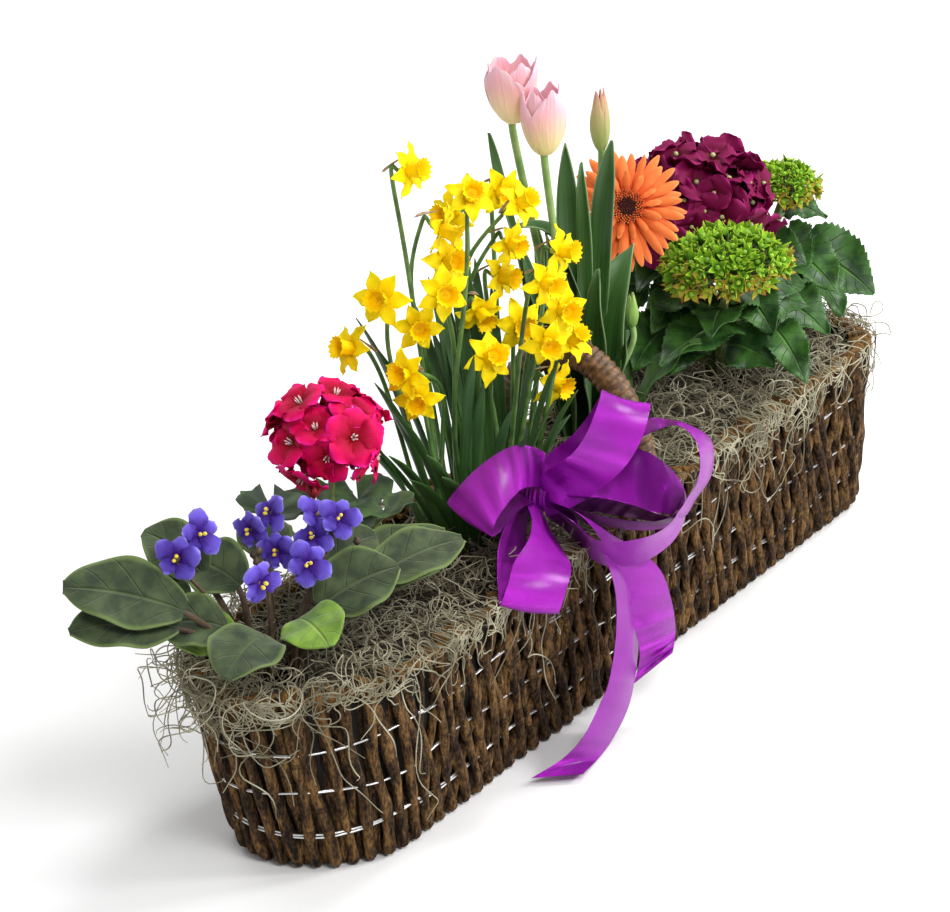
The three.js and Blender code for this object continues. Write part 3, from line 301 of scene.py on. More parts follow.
def plain_wood(s):
    grain = s.noise(40, 5, (0.08, 1, 1))
    tone = s.ramp(grain, [(0.3, (0.11, 0.062, 0.028)), (0.7, (0.25, 0.155, 0.08))])
    return {"Base Color": tone, "Roughness": 0.7, "Normal": s.bump(grain, 0.0005, 0.5)}


def purple_satin(s):
    """Satin ribbon: fine threads across, and a soft sheen that runs along them"""
    thread = s.noise(1.0, 1, (1400, 14, 1), "UV")
    wave = s.noise(1.0, 1, (0.2, 8, 1), "UV")
    tone = s.blend((0.26, 0.0, 0.33), (0.41, 0.002, 0.49), s.noise(18, 2))
    return {"Base Color": tone, "Roughness": 0.28 + thread * 0.08, "Specular IOR Level": 0.6, "Metallic": 0.72,
            "Coat Weight": 0.28, "Coat Roughness": 0.24, "Normal": s.bump(thread * 0.02 + wave, 0.018, 0.9)}


def leaf_finish(name, dark, light, vein, veins=7, slant=1.3, roughness=0.5, depth=0.0008, sheen=0.0, edging=0.0):
    """A leaf with a midrib and slanting side veins; edging is the share of the vein's colour at its edge"""
    def paint(s):
        across = s.across()
        rib = 1 - s.edge(across, 0.0, 0.09)
        saw = abs(s.maths("FRACT", s.along() * veins - across * slant) - 0.5) * 2
        side = s.edge(saw, 0.9, 1.0) * (1 - s.edge(across, 0.7, 1.0))
        lines = s.maths("MAXIMUM", rib, side * 0.7)
        mottle = s.noise(70, 4)
        tone = s.blend(dark, light, s.edge(mottle + across * 0.12, 0.35, 0.75))
        tone = s.blend(tone, vein, lines * (0.22 if edging else 0.6))
        tone = s.blend(tone, vein, s.edge(across, 0.82, 1.0) * edging)
        return {"Base Color": tone, "Roughness": roughness + mottle * 0.15, "Specular IOR Level": 0.4,
                "Sheen Weight": sheen, "Sheen Roughness": 0.5,
                "Normal": s.bump(mottle * 0.5 - lines, depth, 0.8)}
    return material(name, paint)


def strap_finish(name, dark, light, edging=0.0):
    """A long leaf with fine lines along it, and a paler edge, which is a painted highlight along its rim"""
    def paint(s):
        line = s.noise(1.0, 2, (26, 1.2, 1), "UV")
        tone = s.blend(dark, light, s.edge(line * 0.6 + s.noise(9, 2) * 0.5, 0.35, 0.75))
        # Painted highlight: the pale colour along the edge stands in for light catching the leaf's rim
        tone = s.blend(tone, (0.30, 0.42, 0.20), s.edge(s.across(), 0.86, 1.0) * edging)
        return {"Base Color": tone, "Roughness": 0.42, "Normal": s.bump(line, 0.0005, 0.6)}
    return material(name, paint)


def petal_finish(name, root, body, rim, turn=0.5, streak=20, roughness=0.6, relief=0.0005):
    """A petal: one colour at its root, another over its body and a third at its edge, with fine streaks"""
    def paint(s):
        line = s.noise(1.0, 2, (streak, 1.5, 1), "UV")
        along = s.along() + (line - 0.5) * 0.25
        tone = s.blend(root, body, s.edge(along, 0.0, turn))
        tone = s.blend(tone, rim, s.edge(along + s.across() * 0.2, 0.72, 1.15))
        tone = s.blend(tone, root, s.edge(line, 0.52, 0.72) * 0.3)
        return {"Base Color": tone, "Roughness": roughness, "Specular IOR Level": 0.15,
                "Subsurface Weight": 0.1, "Subsurface Radius": (0.01, 0.006, 0.004),
                "Normal": s.bump(line, relief, 0.5)}
    return material(name, paint)


def plain_finish(name, low, high, scale=120, roughness=0.6, depth=0.0004):
    """Small parts in two close tones"""
    def paint(s):
        speck = s.noise(scale, 3)
        return {"Base Color": s.blend(low, high, s.edge(speck, 0.35, 0.65)), "Roughness": roughness,
                "Normal": s.bump(speck, depth, 0.6)}
    return material(name, paint)


# Making pieces

def piece(name, bm, finishes, replaced=None, slot=None, thickness=0.0):
    """Closes a mesh, smooths it and puts it in the scene"""
    bmesh.ops.remove_doubles(bm, verts=bm.verts, dist=1e-6)
    for face in bm.faces:
        face.smooth = True
    mesh = mesh_of(name, bm)
    for finish in finishes:
        mesh.materials.append(finish)
    made = placed(name, mesh)
    if thickness:
        wall = made.modifiers.new("thickness", "SOLIDIFY")
        wall.thickness, wall.offset = thickness, 0
        made.modifiers.new("even_shading", "WEIGHTED_NORMAL").weight = 100
    return settle(made, replaced, slot)


def rods(name, runs, radius, finish, replaced=None, slot=None, sides=2, smooth=True):
    """Round rods, each along a run of (point, share of the radius)"""
    curve = bpy.data.curves.new(name, "CURVE")
    curve.dimensions = "3D"
    curve.bevel_depth, curve.bevel_resolution = radius, sides
    curve.resolution_u = curve.render_resolution_u = 2
    curve.use_fill_caps = True
    for run in runs:
        spline = curve.splines.new("NURBS" if smooth else "POLY")
        spline.points.add(len(run) - 1)
        for spot, (place, share) in zip(spline.points, run):
            spot.co, spot.radius = (*place, 1), share
        if smooth:
            spline.order_u, spline.use_endpoint_u = 3, True
    curve.materials.append(finish)
    return settle(placed(name, curve), replaced, slot)


def settle(made, replaced, slot):
    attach(made, "root")
    if replaced:
        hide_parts(replaced)
    return made


def patch(bm, cols, rows, place, finish=0):
    """A grid laid by place(u, v), with u across it and v along it, both from 0 to 1"""
    made = bmesh.ops.create_grid(bm, x_segments=cols, y_segments=rows, size=0.5)["verts"]
    low, high = min(v.co.x for v in made), max(v.co.x for v in made)
    spots = {vert: ((vert.co.x - low) / (high - low), (vert.co.y - low) / (high - low)) for vert in made}
    sheet = bm.loops.layers.uv.verify()
    for face in {face for vert in made for face in vert.link_faces}:
        face.material_index = finish
        for loop in face.loops:
            loop[sheet].uv = spots[loop.vert]
    for vert, (u, v) in spots.items():
        vert.co = place(u, v)


def path_of(points):
    """A smooth path through the points, as a function of t from 0 to 1, by Catmull and Rom's rule"""
    ends = [points[0] * 2 - points[1], *points, points[-1] * 2 - points[-2]]

    def at(t):
        run = min(max(t, 0.0), 0.99999) * (len(points) - 1)
        i = int(run)
        k = run - i
        a, b, c, d = ends[i:i + 4]
        return (b * 2 + (c - a) * k + (a * 2 - b * 5 + c * 4 - d) * k ** 2 + (b * 3 - a - c * 3 + d) * k ** 3) / 2
    return at


def tube(bm, points, size, sides=8, rows=12, finish=0):
    """A closed rod along the points; size is its radius as a function of t"""
    at = path_of(points)
    frames = []
    across = None
    for row in range(rows + 1):
        t = row / rows
        ahead = (at(t + 0.01) - at(t - 0.01)).normalized()
        seed = across if across is not None else (Vector((1, 0, 0)) if abs(ahead.x) < 0.8 else Vector((0, 1, 0)))
        across = (seed - ahead * seed.dot(ahead)).normalized()
        frames.append((at(t), across, ahead.cross(across)))

    def place(u, v):
        centre, side, lift = frames[round(v * rows)]
        angle = 2 * math.pi * u
        reach = 0.0 if v in (0.0, 1.0) else size(v)
        return centre + (side * math.cos(angle) + lift * math.sin(angle)) * reach
    patch(bm, sides, rows, place, finish)


def bead(bm, points, radius, power, sides=6, rows=4):
    """A small round body along the points"""
    tube(bm, points, lambda t: radius * math.sin(math.pi * t) ** power, sides, rows, finish=1)


def rounded(low, stretch, turn, least, bend, power):
    """An outline that swells from its root, and is rounded off after the turn"""
    def shape(t):
        if t < turn:
            return low + (1 - low) * math.sin(math.pi * t / stretch)
        return max(least, 1 - ((t - turn) / (1 - turn)) ** bend) ** power
    return shape


def full_round(t):
    swell = 0.10 + 0.42 * t / 0.62 if t < 0.62 else 0.52 + 0.45 * (t - 0.62) / 0.38
    return math.sin(math.pi * min(0.97, swell)) ** 0.6


# The share of a blade's width from its root, at 0, to its tip, at 1
OUTLINES = {
    "oval": lambda t: max(0.06, math.sin(math.pi * (0.03 + 0.965 * t) ** 0.92)) ** 0.62,
    "heart": lambda t: max(0.03, math.sin(math.pi * (0.05 + 0.94 * t) ** 0.68)) ** 0.85,
    "lance": lambda t: max(0.03, 0.35 * (1 - t) + 0.9 * math.sin(math.pi * (0.1 + 0.89 * t) ** 0.85)),
    "strap": lambda t: 0.75 + 0.3 * t if t < 0.7 else 0.96 * (1 - ((t - 0.7) / 0.3) ** 2 * 0.97),
    "petal": rounded(0.35, 1.2, 0.6, 0.1, 2, 0.5),
    "tepal": rounded(0.5, 0.9, 0.45, 0.03, 1.35, 1),
    "ray": rounded(0.4, 1.3, 0.65, 0.08, 2, 0.6),
    "round": full_round,
}


def blade(bm, root, middle, tip, face, width, outline, cols, rows, fold=0.0, wave=0.0, waves=2,
          curl=0.0, teeth=0, bite=0.0, finish=0, phase=0.0):
    """A leaf or petal along root, middle and tip. fold lifts its edges, wave ripples them, teeth notch them"""
    shape = OUTLINES[outline]

    def place(u, v):
        v = 1 - (1 - v) ** 1.35
        spot = root * (1 - v) ** 2 + middle * 2 * v * (1 - v) + tip * v ** 2
        ahead = ((middle - root) * (1 - v) + (tip - middle) * v).normalized()
        side = ahead.cross(face).normalized()
        lift = side.cross(ahead)
        across = 2 * u - 1
        notch = 1 - bite * (v * teeth % 1) if teeth and v < 0.97 else 1
        half = width * shape(v) / 2 * (notch if abs(across) > 0.99 else 1)
        rise = (fold * abs(across) ** 1.5 - curl * across ** 2) * half
        rise += wave * abs(across) ** 2 * math.sin(math.pi * waves * v * 2 + (2.0 if across > 0 else 0.0) + phase)
        return spot + side * across * half + lift * rise
    patch(bm, cols, rows, place, finish)


def model(build):
    """A mesh built round +Z, to be copied into place"""
    bm = bmesh.new()
    build(bm)
    bmesh.ops.remove_doubles(bm, verts=bm.verts, dist=1e-6)
    return mesh_of("pattern", bm)


def add_copy(bm, pattern, centre, facing, spin=0.0, scale=1.0):
    """Adds a pattern that was made round +Z and now looks along facing"""
    turn = UP.rotation_difference(facing).to_matrix().to_4x4()
    turned = pattern.copy()
    turned.transform(Matrix.Translation(centre) @ turn @ Matrix.Rotation(spin, 4, "Z") @ Matrix.Scale(scale, 4))
    bm.from_mesh(turned)
    bpy.data.meshes.remove(turned)


# The basket

def ends_at(z):
    """The reach of the near end, of the far end and of the sides from the trough's straight middle, at a height"""
    rise = z / HEIGHT
    return NEAR_END + NEAR_FLARE * rise, FAR_END + FAR_FLARE * rise, HALF_WIDTH + SIDE_FLARE * rise


def trough_point(distance, z, inset=0.0):
    """A point of the basket's wall at a distance round it, counter-clockwise from the near end of the bow side"""
    near, far, width = (reach - inset for reach in ends_at(z))
    run = distance % LAP
    if run < 2 * HALF_STRAIGHT:
        return Vector((run - HALF_STRAIGHT, -width, z))
    run -= 2 * HALF_STRAIGHT
    if run < FAR_ARC:
        angle = -math.pi / 2 + math.pi * run / FAR_ARC
        return Vector((HALF_STRAIGHT + far * math.cos(angle), width * math.sin(angle), z))
    run -= FAR_ARC
    if run < 2 * HALF_STRAIGHT:
        return Vector((HALF_STRAIGHT - run, width, z))
    run -= 2 * HALF_STRAIGHT
    angle = math.pi / 2 + math.pi * run / NEAR_ARC
    return Vector((-HALF_STRAIGHT + near * math.cos(angle), width * math.sin(angle), z))


def near_end(distance):
    """1 on the near end, where the stakes are thick and upright, and 0 along the sides"""
    return min(1, max(0, (-HALF_STRAIGHT + 0.05 - trough_point(distance, HEIGHT).x) / 0.11))


def far_tip(distance):
    """1 at the tip of the far end, where the wall turns and the stakes would stand apart, and 0 along the sides"""
    return max(0, (trough_point(distance, HEIGHT).x - HALF_STRAIGHT - 0.02) / (FAR_END + FAR_FLARE - 0.02))


def stake_run(foot, lean, inset, draw):
    """One bent stake: a pared foot turned under the board, a leaning rod, and a top folded in at the rim"""
    end = near_end(foot)
    size = draw.uniform(0.86, 1.12) * (0.77 + 0.17 * end + 0.24 * far_tip(foot))
    lean = lean * (1 - end) + draw.uniform(-0.013, 0.003) * end
    sway, phase = draw.uniform(0.0006, 0.0018), draw.uniform(0, 6)
    top = HEIGHT - 0.003 + draw.uniform(-0.004, 0.003)
    run = [(trough_point(foot, 0.0025, inset + 0.050), 0.42), (trough_point(foot, 0.0025, inset + 0.012), 0.45),
           (trough_point(foot, 0.0052, inset + 0.001), 1.05)]
    for i in range(13):
        k = (i + 0.4) / 12.4
        spot = foot + lean * k + sway * math.sin(9 * k + phase)
        knob = 1.25 if draw.random() < 0.15 else draw.uniform(0.84, 1.06)
        bent = trough_point(spot, 0.004 + (top - 0.004) * k, inset - sway * math.cos(7 * k + phase))
        run.append((bent, size * knob))
    run.append((trough_point(foot + lean * 1.02, top + 0.0045, inset + 0.003), size * 0.95))
    run.append((trough_point(foot + lean * 1.03, top + 0.002, inset + 0.010), size * 0.8))
    return run


def basket():
    """Two layers of stakes, which lean opposite ways and cross, and a rod under their folded tops"""
    draw = random.Random(4)
    finish = material("dark_vine", vine)
    pitch = LAP / STAKES

    def layer(lean, inset, offset, sink):
        """offset and sink set the back layer's stakes between the front's at the near end, where none lean"""
        runs = []
        for i in range(STAKES):
            end = near_end(i * pitch)
            foot = i * pitch + end * offset + draw.uniform(-0.0012, 0.0012)
            runs.append(stake_run(foot, lean * draw.uniform(0.8, 1.25), inset + end * sink, draw))
        return runs
    front, back = layer(-STAKE_LEAN, 0.0020, 0, 0), layer(STAKE_LEAN, 0.0056, 0.5 * pitch, 0.003)
    rods("basket_stakes_front", front, STAKE_RADIUS, finish, "basket_wall", "vine")
    rods("basket_stakes_back", back, STAKE_RADIUS, finish, slot="vine")
    rim_run = [(trough_point(LAP * i / 90, HEIGHT - 0.004, 0.006), 1) for i in range(91)]
    rods("basket_rim_rod", [rim_run], 0.0045, finish, slot="vine")


def wires():
    """Three rows of wire, each of two strands that part now and then"""
    draw = random.Random(9)
    finish = material("galvanised_wire", galvanised)
    for name, height in WIRE_HEIGHTS.items():
        runs = []
        for strand in (0, 1):
            run = []
            for i in range(WIRE_STEPS + 1):
                distance = LAP * i / WIRE_STEPS
                wobble = 0.0022 * math.sin(i * 0.37 + height * 90) + draw.uniform(-0.0005, 0.0005)
                apart = strand * 0.0024 * max(0, math.sin(i * 0.11 + height * 50))
                inset = 0.0034 - 0.0026 * near_end(distance) - 0.0008 * strand
                run.append((trough_point(distance, height + wobble - apart, inset), 1))
            runs.append(run)
        rods(f"binding_wire_{name}", runs, 0.0008, finish, f"wire_{name}", "wire", sides=1)


def handle():
    """A core of vine on a hoop across the basket, with a strip bound round it in close turns"""
    finish = material("bound_vine", bound_vine)
    foot = HANDLE_SPAN - SIDE_FLARE / HEIGHT * HANDLE_FOOT
    points = [Vector((HANDLE_X, -foot, HEIGHT - HANDLE_FOOT))]
    for i in range(13):
        angle = math.pi - math.pi * i / 12
        rise = (HANDLE_APEX - HEIGHT) * math.sin(angle)
        points.append(Vector((HANDLE_X, HANDLE_SPAN * math.cos(angle), HEIGHT + rise)))
    points.append(Vector((HANDLE_X, foot, HEIGHT - HANDLE_FOOT)))
    at = path_of(points)
    steps = 14
    wrap = []
    for i in range(HANDLE_TURNS * steps + 1):
        t = i / (HANDLE_TURNS * steps)
        ahead = (at(t + 0.004) - at(t - 0.004)).normalized()
        side = Vector((1, 0, 0))
        lift = ahead.cross(side)
        angle = 2 * math.pi * i / steps
        spot = at(t) + (side * math.cos(angle) + lift * math.sin(angle)) * (HANDLE_RADIUS - 0.0034)
        wrap.append((spot, 1 + 0.05 * math.sin(i * 0.9)))
    core = [(at(i / 60), 1) for i in range(61)]
    rods("handle_core", [core], HANDLE_RADIUS - 0.003, finish, "handle", "handle_vine", sides=4)
    rods("handle_binding", [wrap], 0.0045, finish, slot="handle_vine", sides=2, smooth=False)


# Moss: loose curly strands over the soil and the rim

BED_STRANDS = 1380
SIDE_REACH = 0.014

# Each clump on the rim: distance round the wall, strands, how far it hangs, how far it stands off
MOSS_CLUMPS = [
    (-0.26, 26, 0.09, 0.03), (-0.2, 40, 0.09, 0.044), (-0.16, 46, 0.1, 0.048), (-0.12, 40, 0.09, 0.044),
    (-0.07, 26, 0.06, 0.03), (-0.03, 30, 0.045, 0.018), (0.0, 7, 0.13, 0.016), (0.01, 30, 0.045, 0.014),
    (0.06, 30, 0.045, 0.014), (0.1, 26, 0.045, 0.014), (0.15, 20, 0.045, 0.014), (0.14, 6, 0.15, 0.014),
    (0.18, 6, 0.13, 0.014), (0.2, 22, 0.05, 0.014), (0.3, 20, 0.06, 0.012), (0.4, 20, 0.06, 0.012),
    (0.44, 6, 0.13, 0.014), (0.47, 26, 0.07, 0.012), (0.53, 34, 0.08, 0.014), (0.59, 30, 0.09, 0.014),
    (0.65, 10, 0.05, 0.014), (0.74, 22, 0.07, 0.04), (0.79, 36, 0.08, 0.042), (0.85, 30, 0.08, 0.03),
    (1.0, 24, 0.06, 0.012), (1.2, 24, 0.06, 0.012), (1.4, 24, 0.06, 0.012), (1.57, 24, 0.07, 0.016),
]


def curly_strand(start, heading, length, curl, sag, draw, steps=12):
    """One curly strand, as a walk that keeps turning about a slowly changing axis"""
    spot, ahead = start.copy(), heading.normalized()
    axis = scatter(draw, 1, 1, 1).normalized()
    run = [(spot.copy(), 0.7)]
    for i in range(steps):
        axis = (axis + scatter(draw, 0.4, 0.4, 0.4)).normalized()
        ahead = Quaternion(axis, curl * draw.uniform(0.5, 1.4)) @ ahead
        ahead = (ahead + Vector((0, 0, -sag))).normalized()
        spot = spot + ahead * length / steps
        run.append((spot.copy(), 1 if i < steps - 2 else 0.6))
    return run


def inside(spot, margin):
    """Whether a point seen from above lies in the basket's mouth"""
    near, far, width = ends_at(HEIGHT)
    over = max(0, abs(spot.x) - HALF_STRAIGHT) / ((near if spot.x < 0 else far) - margin)
    return over ** 2 + (spot.y / (width - margin)) ** 2 < 1


def moss():
    """A flat tangle on the soil, and clumps that hang over the rim"""
    finish = material("dry_moss", dry_moss)
    draw = random.Random(17)
    bed = []
    while len(bed) < BED_STRANDS:
        spot = Vector((draw.uniform(-0.46, 0.41), draw.uniform(-0.085, 0.085), 0))
        if not inside(spot, 0.010):
            continue
        spot.z = MOSS_TOP - 0.010 + draw.uniform(0, 0.012)
        heading = Vector((draw.gauss(0, 1), draw.gauss(0, 1), draw.uniform(-0.1, 0.35)))
        run = []
        for place, share in curly_strand(spot, heading, draw.uniform(0.05, 0.11), 0.72, 0.05, draw):
            place.z = max(place.z, MOSS_TOP - 0.011)
            if inside(place, -0.006) and place.z < MOSS_TOP + 0.02:
                run.append((place, share))
        if len(run) > 5:
            bed.append(run)
    rods("moss_bed", bed, MOSS_RADIUS, finish, "moss", "moss", sides=0, smooth=False)
    rim = []
    for distance, count, drop, reach in MOSS_CLUMPS:
        for _ in range(count):
            along = distance + draw.gauss(0, 0.028)
            start = trough_point(along, MOSS_TOP + draw.uniform(-0.002, 0.006), draw.uniform(0.0, 0.02))
            out = trough_point(along, HEIGHT, -0.05) - trough_point(along, HEIGHT, 0)
            side = Vector((-out.y, out.x, 0)).normalized()
            heading = out.normalized() + side * draw.gauss(0, 0.9) + UP * draw.uniform(-0.1, 0.35)
            run = curly_strand(start, heading, drop * draw.uniform(0.5, 1.5), 0.85, 0.18, draw, 11)
            rim.append([(kept_outside(place, reach), share) for place, share in run])
    rods("moss_rim", rim, MOSS_RADIUS, finish, slot="moss", sides=0)


def kept_outside(spot, reach):
    """Keeps a hanging strand out of the wall and within reach of it: closer along the sides, and low under the bow"""
    under_bow = -0.27 < spot.x < -0.02 and spot.y < 0
    spot.z = min(spot.z, HEIGHT + (0.007 if under_bow else 0.024))
    if spot.z > HEIGHT + 0.006 and inside(spot, -0.004):
        return spot
    near, far, width = ends_at(max(0, spot.z))
    centre_x = max(-HALF_STRAIGHT, min(HALF_STRAIGHT, spot.x))
    gap = Vector((spot.x - centre_x, spot.y, 0))
    share = math.sqrt((gap.x / (near if spot.x < 0 else far)) ** 2 + (gap.y / width) ** 2)
    if share < 1e-4:
        return spot
    wall = gap.length / share
    stray = reach
    if reach > SIDE_REACH:
        stray = SIDE_REACH + (reach - SIDE_REACH) * (gap.x / gap.length) ** 2
    gap = gap.normalized() * min(max(gap.length, wall + 0.006), wall + stray)
    return Vector((centre_x + gap.x, gap.y, max(spot.z, 0.004)))


# The ribbon bow

# The cut of ribbon, laid out as runs from the knot: at each step, the places of its two edges in mm
RIBBON_RUNS = [
    [  # the tall loop
        (-115, -55, 180, -122, -52, 195), (-96, -72, 184, -111, -51, 210), (-64, -82, 195, -100, -67, 225),
        (-50, -92, 209, -87, -73, 235), (-44, -102, 226, -80, -82, 252), (-49, -108, 241, -89, -90, 263),
        (-64, -115, 238, -103, -94, 256), (-79, -116, 223, -118, -94, 242), (-92, -110, 207, -129, -89, 229),
        (-103, -96, 191, -138, -81, 221), (-120, -81, 180, -135, -65, 209), (-132, -63, 172, -128, -53, 194),
    ],
    [  # the left loop
        (-116, -55, 217, -127, -56, 193), (-123, -46, 223, -149, -62, 203), (-139, -41, 228, -174, -67, 210),
        (-163, -38, 228, -194, -68, 207), (-186, -32, 221, -211, -68, 200), (-208, -25, 206, -219, -69, 191),
        (-191, -25, 197, -210, -69, 190), (-163, -29, 192, -193, -67, 192), (-137, -37, 190, -163, -61, 191),
        (-118, -46, 184, -131, -55, 183),
    ],
    [  # the hanging loop
        (-134, -45, 186, -131, -58, 177), (-171, -74, 187, -142, -73, 166), (-200, -88, 184, -160, -96, 157),
        (-225, -91, 177, -186, -115, 160), (-243, -95, 166, -205, -121, 151), (-253, -94, 154, -215, -119, 137),
        (-243, -87, 162, -202, -104, 142), (-223, -75, 175, -179, -77, 154), (-195, -63, 184, -154, -58, 160),
        (-162, -54, 188, -132, -47, 169), (-134, -45, 187, -121, -48, 178),
    ],
    [  # the ring
        (-129, -65, 181, -123, -59, 168), (-134, -87, 181, -115, -69, 156), (-154, -106, 177, -123, -89, 145),
        (-143, -115, 166, -111, -102, 131), (-127, -131, 163, -93, -119, 130), (-107, -143, 164, -71, -129, 135),
        (-87, -147, 169, -50, -131, 143), (-70, -144, 177, -31, -126, 156), (-65, -134, 162, -20, -117, 165),
        (-61, -123, 159, -22, -106, 180), (-65, -107, 161, -36, -91, 196), (-84, -95, 172, -48, -71, 193),
        (-101, -83, 179, -73, -62, 188), (-121, -65, 182, -109, -55, 186),
    ],
    [  # the strip in the ring
        (-125, -68, 188, -118, -60, 176), (-120, -91, 189, -103, -68, 168), (-111, -108, 186, -84, -78, 161),
        (-100, -123, 179, -71, -94, 155), (-84, -133, 168, -62, -110, 151), (-65, -133, 159, -56, -124, 150),
    ],
    [  # the thin outer loop
        (-113, -64, 187, -101, -54, 189), (-87, -85, 209, -55, -67, 210), (-60, -105, 217, -16, -86, 213),
        (-49, -116, 222, -6, -98, 211), (-45, -130, 225, -3, -111, 208), (-43, -143, 214, 1, -129, 200),
        (-49, -149, 200, -4, -136, 187), (-55, -149, 186, -11, -136, 171), (-63, -145, 176, -21, -129, 157),
        (-73, -140, 166, -33, -124, 145), (-88, -127, 163, -51, -108, 139), (-111, -100, 171, -85, -85, 151),
        (-123, -70, 181, -113, -62, 171),
    ],
    [  # the long tail
        (-129, -61, 182, -117, -63, 171), (-155, -99, 184, -132, -99, 156), (-131, -105, 157, -98, -103, 122),
        (-129, -113, 140, -93, -111, 108), (-130, -119, 116, -91, -111, 88), (-133, -119, 84, -89, -113, 63),
        (-145, -119, 55, -102, -115, 33), (-161, -119, 41, -118, -117, 17), (-186, -119, 26, -143, -117, 3),
        (-205, -112, 15, -172, -122, 2), (-228, -98, 6, -207, -130, 7),
    ],
    [  # the broad tail
        (-128, -61, 184, -116, -63, 173), (-142, -98, 184, -114, -98, 161), (-121, -105, 153, -77, -107, 134),
        (-110, -108, 124, -64, -120, 113), (-102, -113, 96, -55, -123, 87), (-98, -117, 72, -50, -123, 67),
        (-98, -119, 58, -50, -123, 55), (-93, -114, 42, -61, -128, 52), (-94, -110, 29, -71, -132, 50),
    ],
]


def bow():
    """The ribbon's runs, each a little bowed across, and a creased band round the middle"""
    bm = bmesh.new()
    for edges in RIBBON_RUNS:
        left, right = path_of([mm(*step[:3]) for step in edges]), path_of([mm(*step[3:]) for step in edges])

        def place(u, v):
            side = right(v) - left(v)
            ahead = left(v + 0.01) + right(v + 0.01) - left(v - 0.01) - right(v - 0.01)
            swell = ahead.cross(side).normalized() * 0.0022 * math.sin(math.pi * u) * math.sin(math.pi * v) ** 0.5
            return left(v).lerp(right(v), u) + swell
        patch(bm, 8, 56, place)

    def knot(u, v):
        angle = 2 * math.pi * u
        bulge = 0.012 + 0.0015 * math.cos(9 * v * math.pi) - 0.004 * (2 * v - 1) ** 2
        return KNOT + Vector((math.sin(angle) * bulge * 0.9, (v - 0.5) * 0.026, math.cos(angle) * bulge))
    patch(bm, 24, 8, knot)
    finish = material("purple_satin", purple_satin)
    made = piece("satin_bow", bm, [finish], "ribbon_bow", "ribbon", thickness=RIBBON_THICKNESS)


# What the plants share

PETAL_THICKNESS = 0.0005
LEAF_THICKNESS = 0.0009


def leaf_rows(rows):
    """Root, tip and width of each leaf, from a table in mm"""
    return [(mm(*row[:3]), mm(*row[3:6]), row[6] / 1000) for row in rows]


def dome(count, lowest):
    """Directions spread evenly over a dome"""
    outward = []
    for i in range(count):
        height = 1 - (1 - lowest) * (i + 0.5) / count
        ring, turn = math.sqrt(1 - height * height), GOLDEN_ANGLE * i
        outward.append(Vector((ring * math.cos(turn), ring * math.sin(turn), height)))
    return outward


def flower_head(head, pattern, outer, inner, reach, depth, rough, sizes, hub, stalk_tip, draw, flushed=False):
    """Flowers on an outer and an inner dome, and the runs of their stalks from the hub.

    reach is the outer dome's least and greatest share of the head's size, and depth is the inner dome's share.
    If flushed, some flowers on the lower side take the third finish.
    """
    centre, size = head
    bm = bmesh.new()
    runs = []
    for number, outward in enumerate([*outer, *inner]):
        facing = Vector([a / b for a, b in zip(outward, size)]).normalized()
        share = draw.uniform(*reach) if number < len(outer) else depth
        spot = centre + outward * size * share
        tilt = (facing + scatter(draw, rough, rough, rough)).normalized()
        first = len(bm.faces)
        add_copy(bm, pattern, spot, tilt, draw.uniform(0, 6), draw.uniform(*sizes))
        if flushed and outward.z < 0.25 and draw.random() < 0.6:
            bm.faces.ensure_lookup_table()
            for face in bm.faces[first:]:
                face.material_index = 2 if face.material_index == 0 else 1
        runs.append([(hub, 0.9), (hub.lerp(spot, 0.6), 0.7), (spot, stalk_tip)])
    return bm, runs


# African violet

VIOLET_BASE = mm(-395, 8, PLANTED)

# Each leaf, here and for the other plants: root, tip and width in mm
VIOLET_LEAVES = [
    (-456, 38, 206, -500, 108, 228, 52), (-462, 40, 196, -514, 95, 202, 40), (-430, 22, 186, -462, 62, 192, 42),
    (-424, 18, 178, -447, 54, 174, 34), (-429, -9, 186, -491, -19, 180, 48), (-392, -14, 184, -412, -52, 178, 44),
    (-380, -24, 190, -334, -62, 210, 50), (-340, -44, 200, -264, -72, 206, 40),
    (-326, -26, 186, -240, -44, 196, 52), (-352, -6, 204, -300, -22, 214, 38), (-408, 54, 212, -416, 98, 240, 40),
    (-428, 54, 200, -450, 100, 210, 34), (-398, 30, 204, -402, 72, 218, 44), (-366, 28, 212, -334, 52, 226, 36),
]
VIOLET_YOUNG = (3, 5)

# Each truss: its blooms by centre in mm, azimuth and elevation
VIOLET_TRUSSES = [
    [(-421, 45, 250, -150, 30), (-440, 52, 238, 170, 10)],
    [(-372, 18, 252, -160, 40), (-380, 30, 240, 180, 25), (-381, 8, 228, -150, 15), (-434, -12, 228, -150, 5)],
    [(-385, -20, 225, -140, 5), (-343, -20, 244, -130, 25), (-352, -4, 230, -140, 20), (-341, 0, 242, -110, 30)],
]


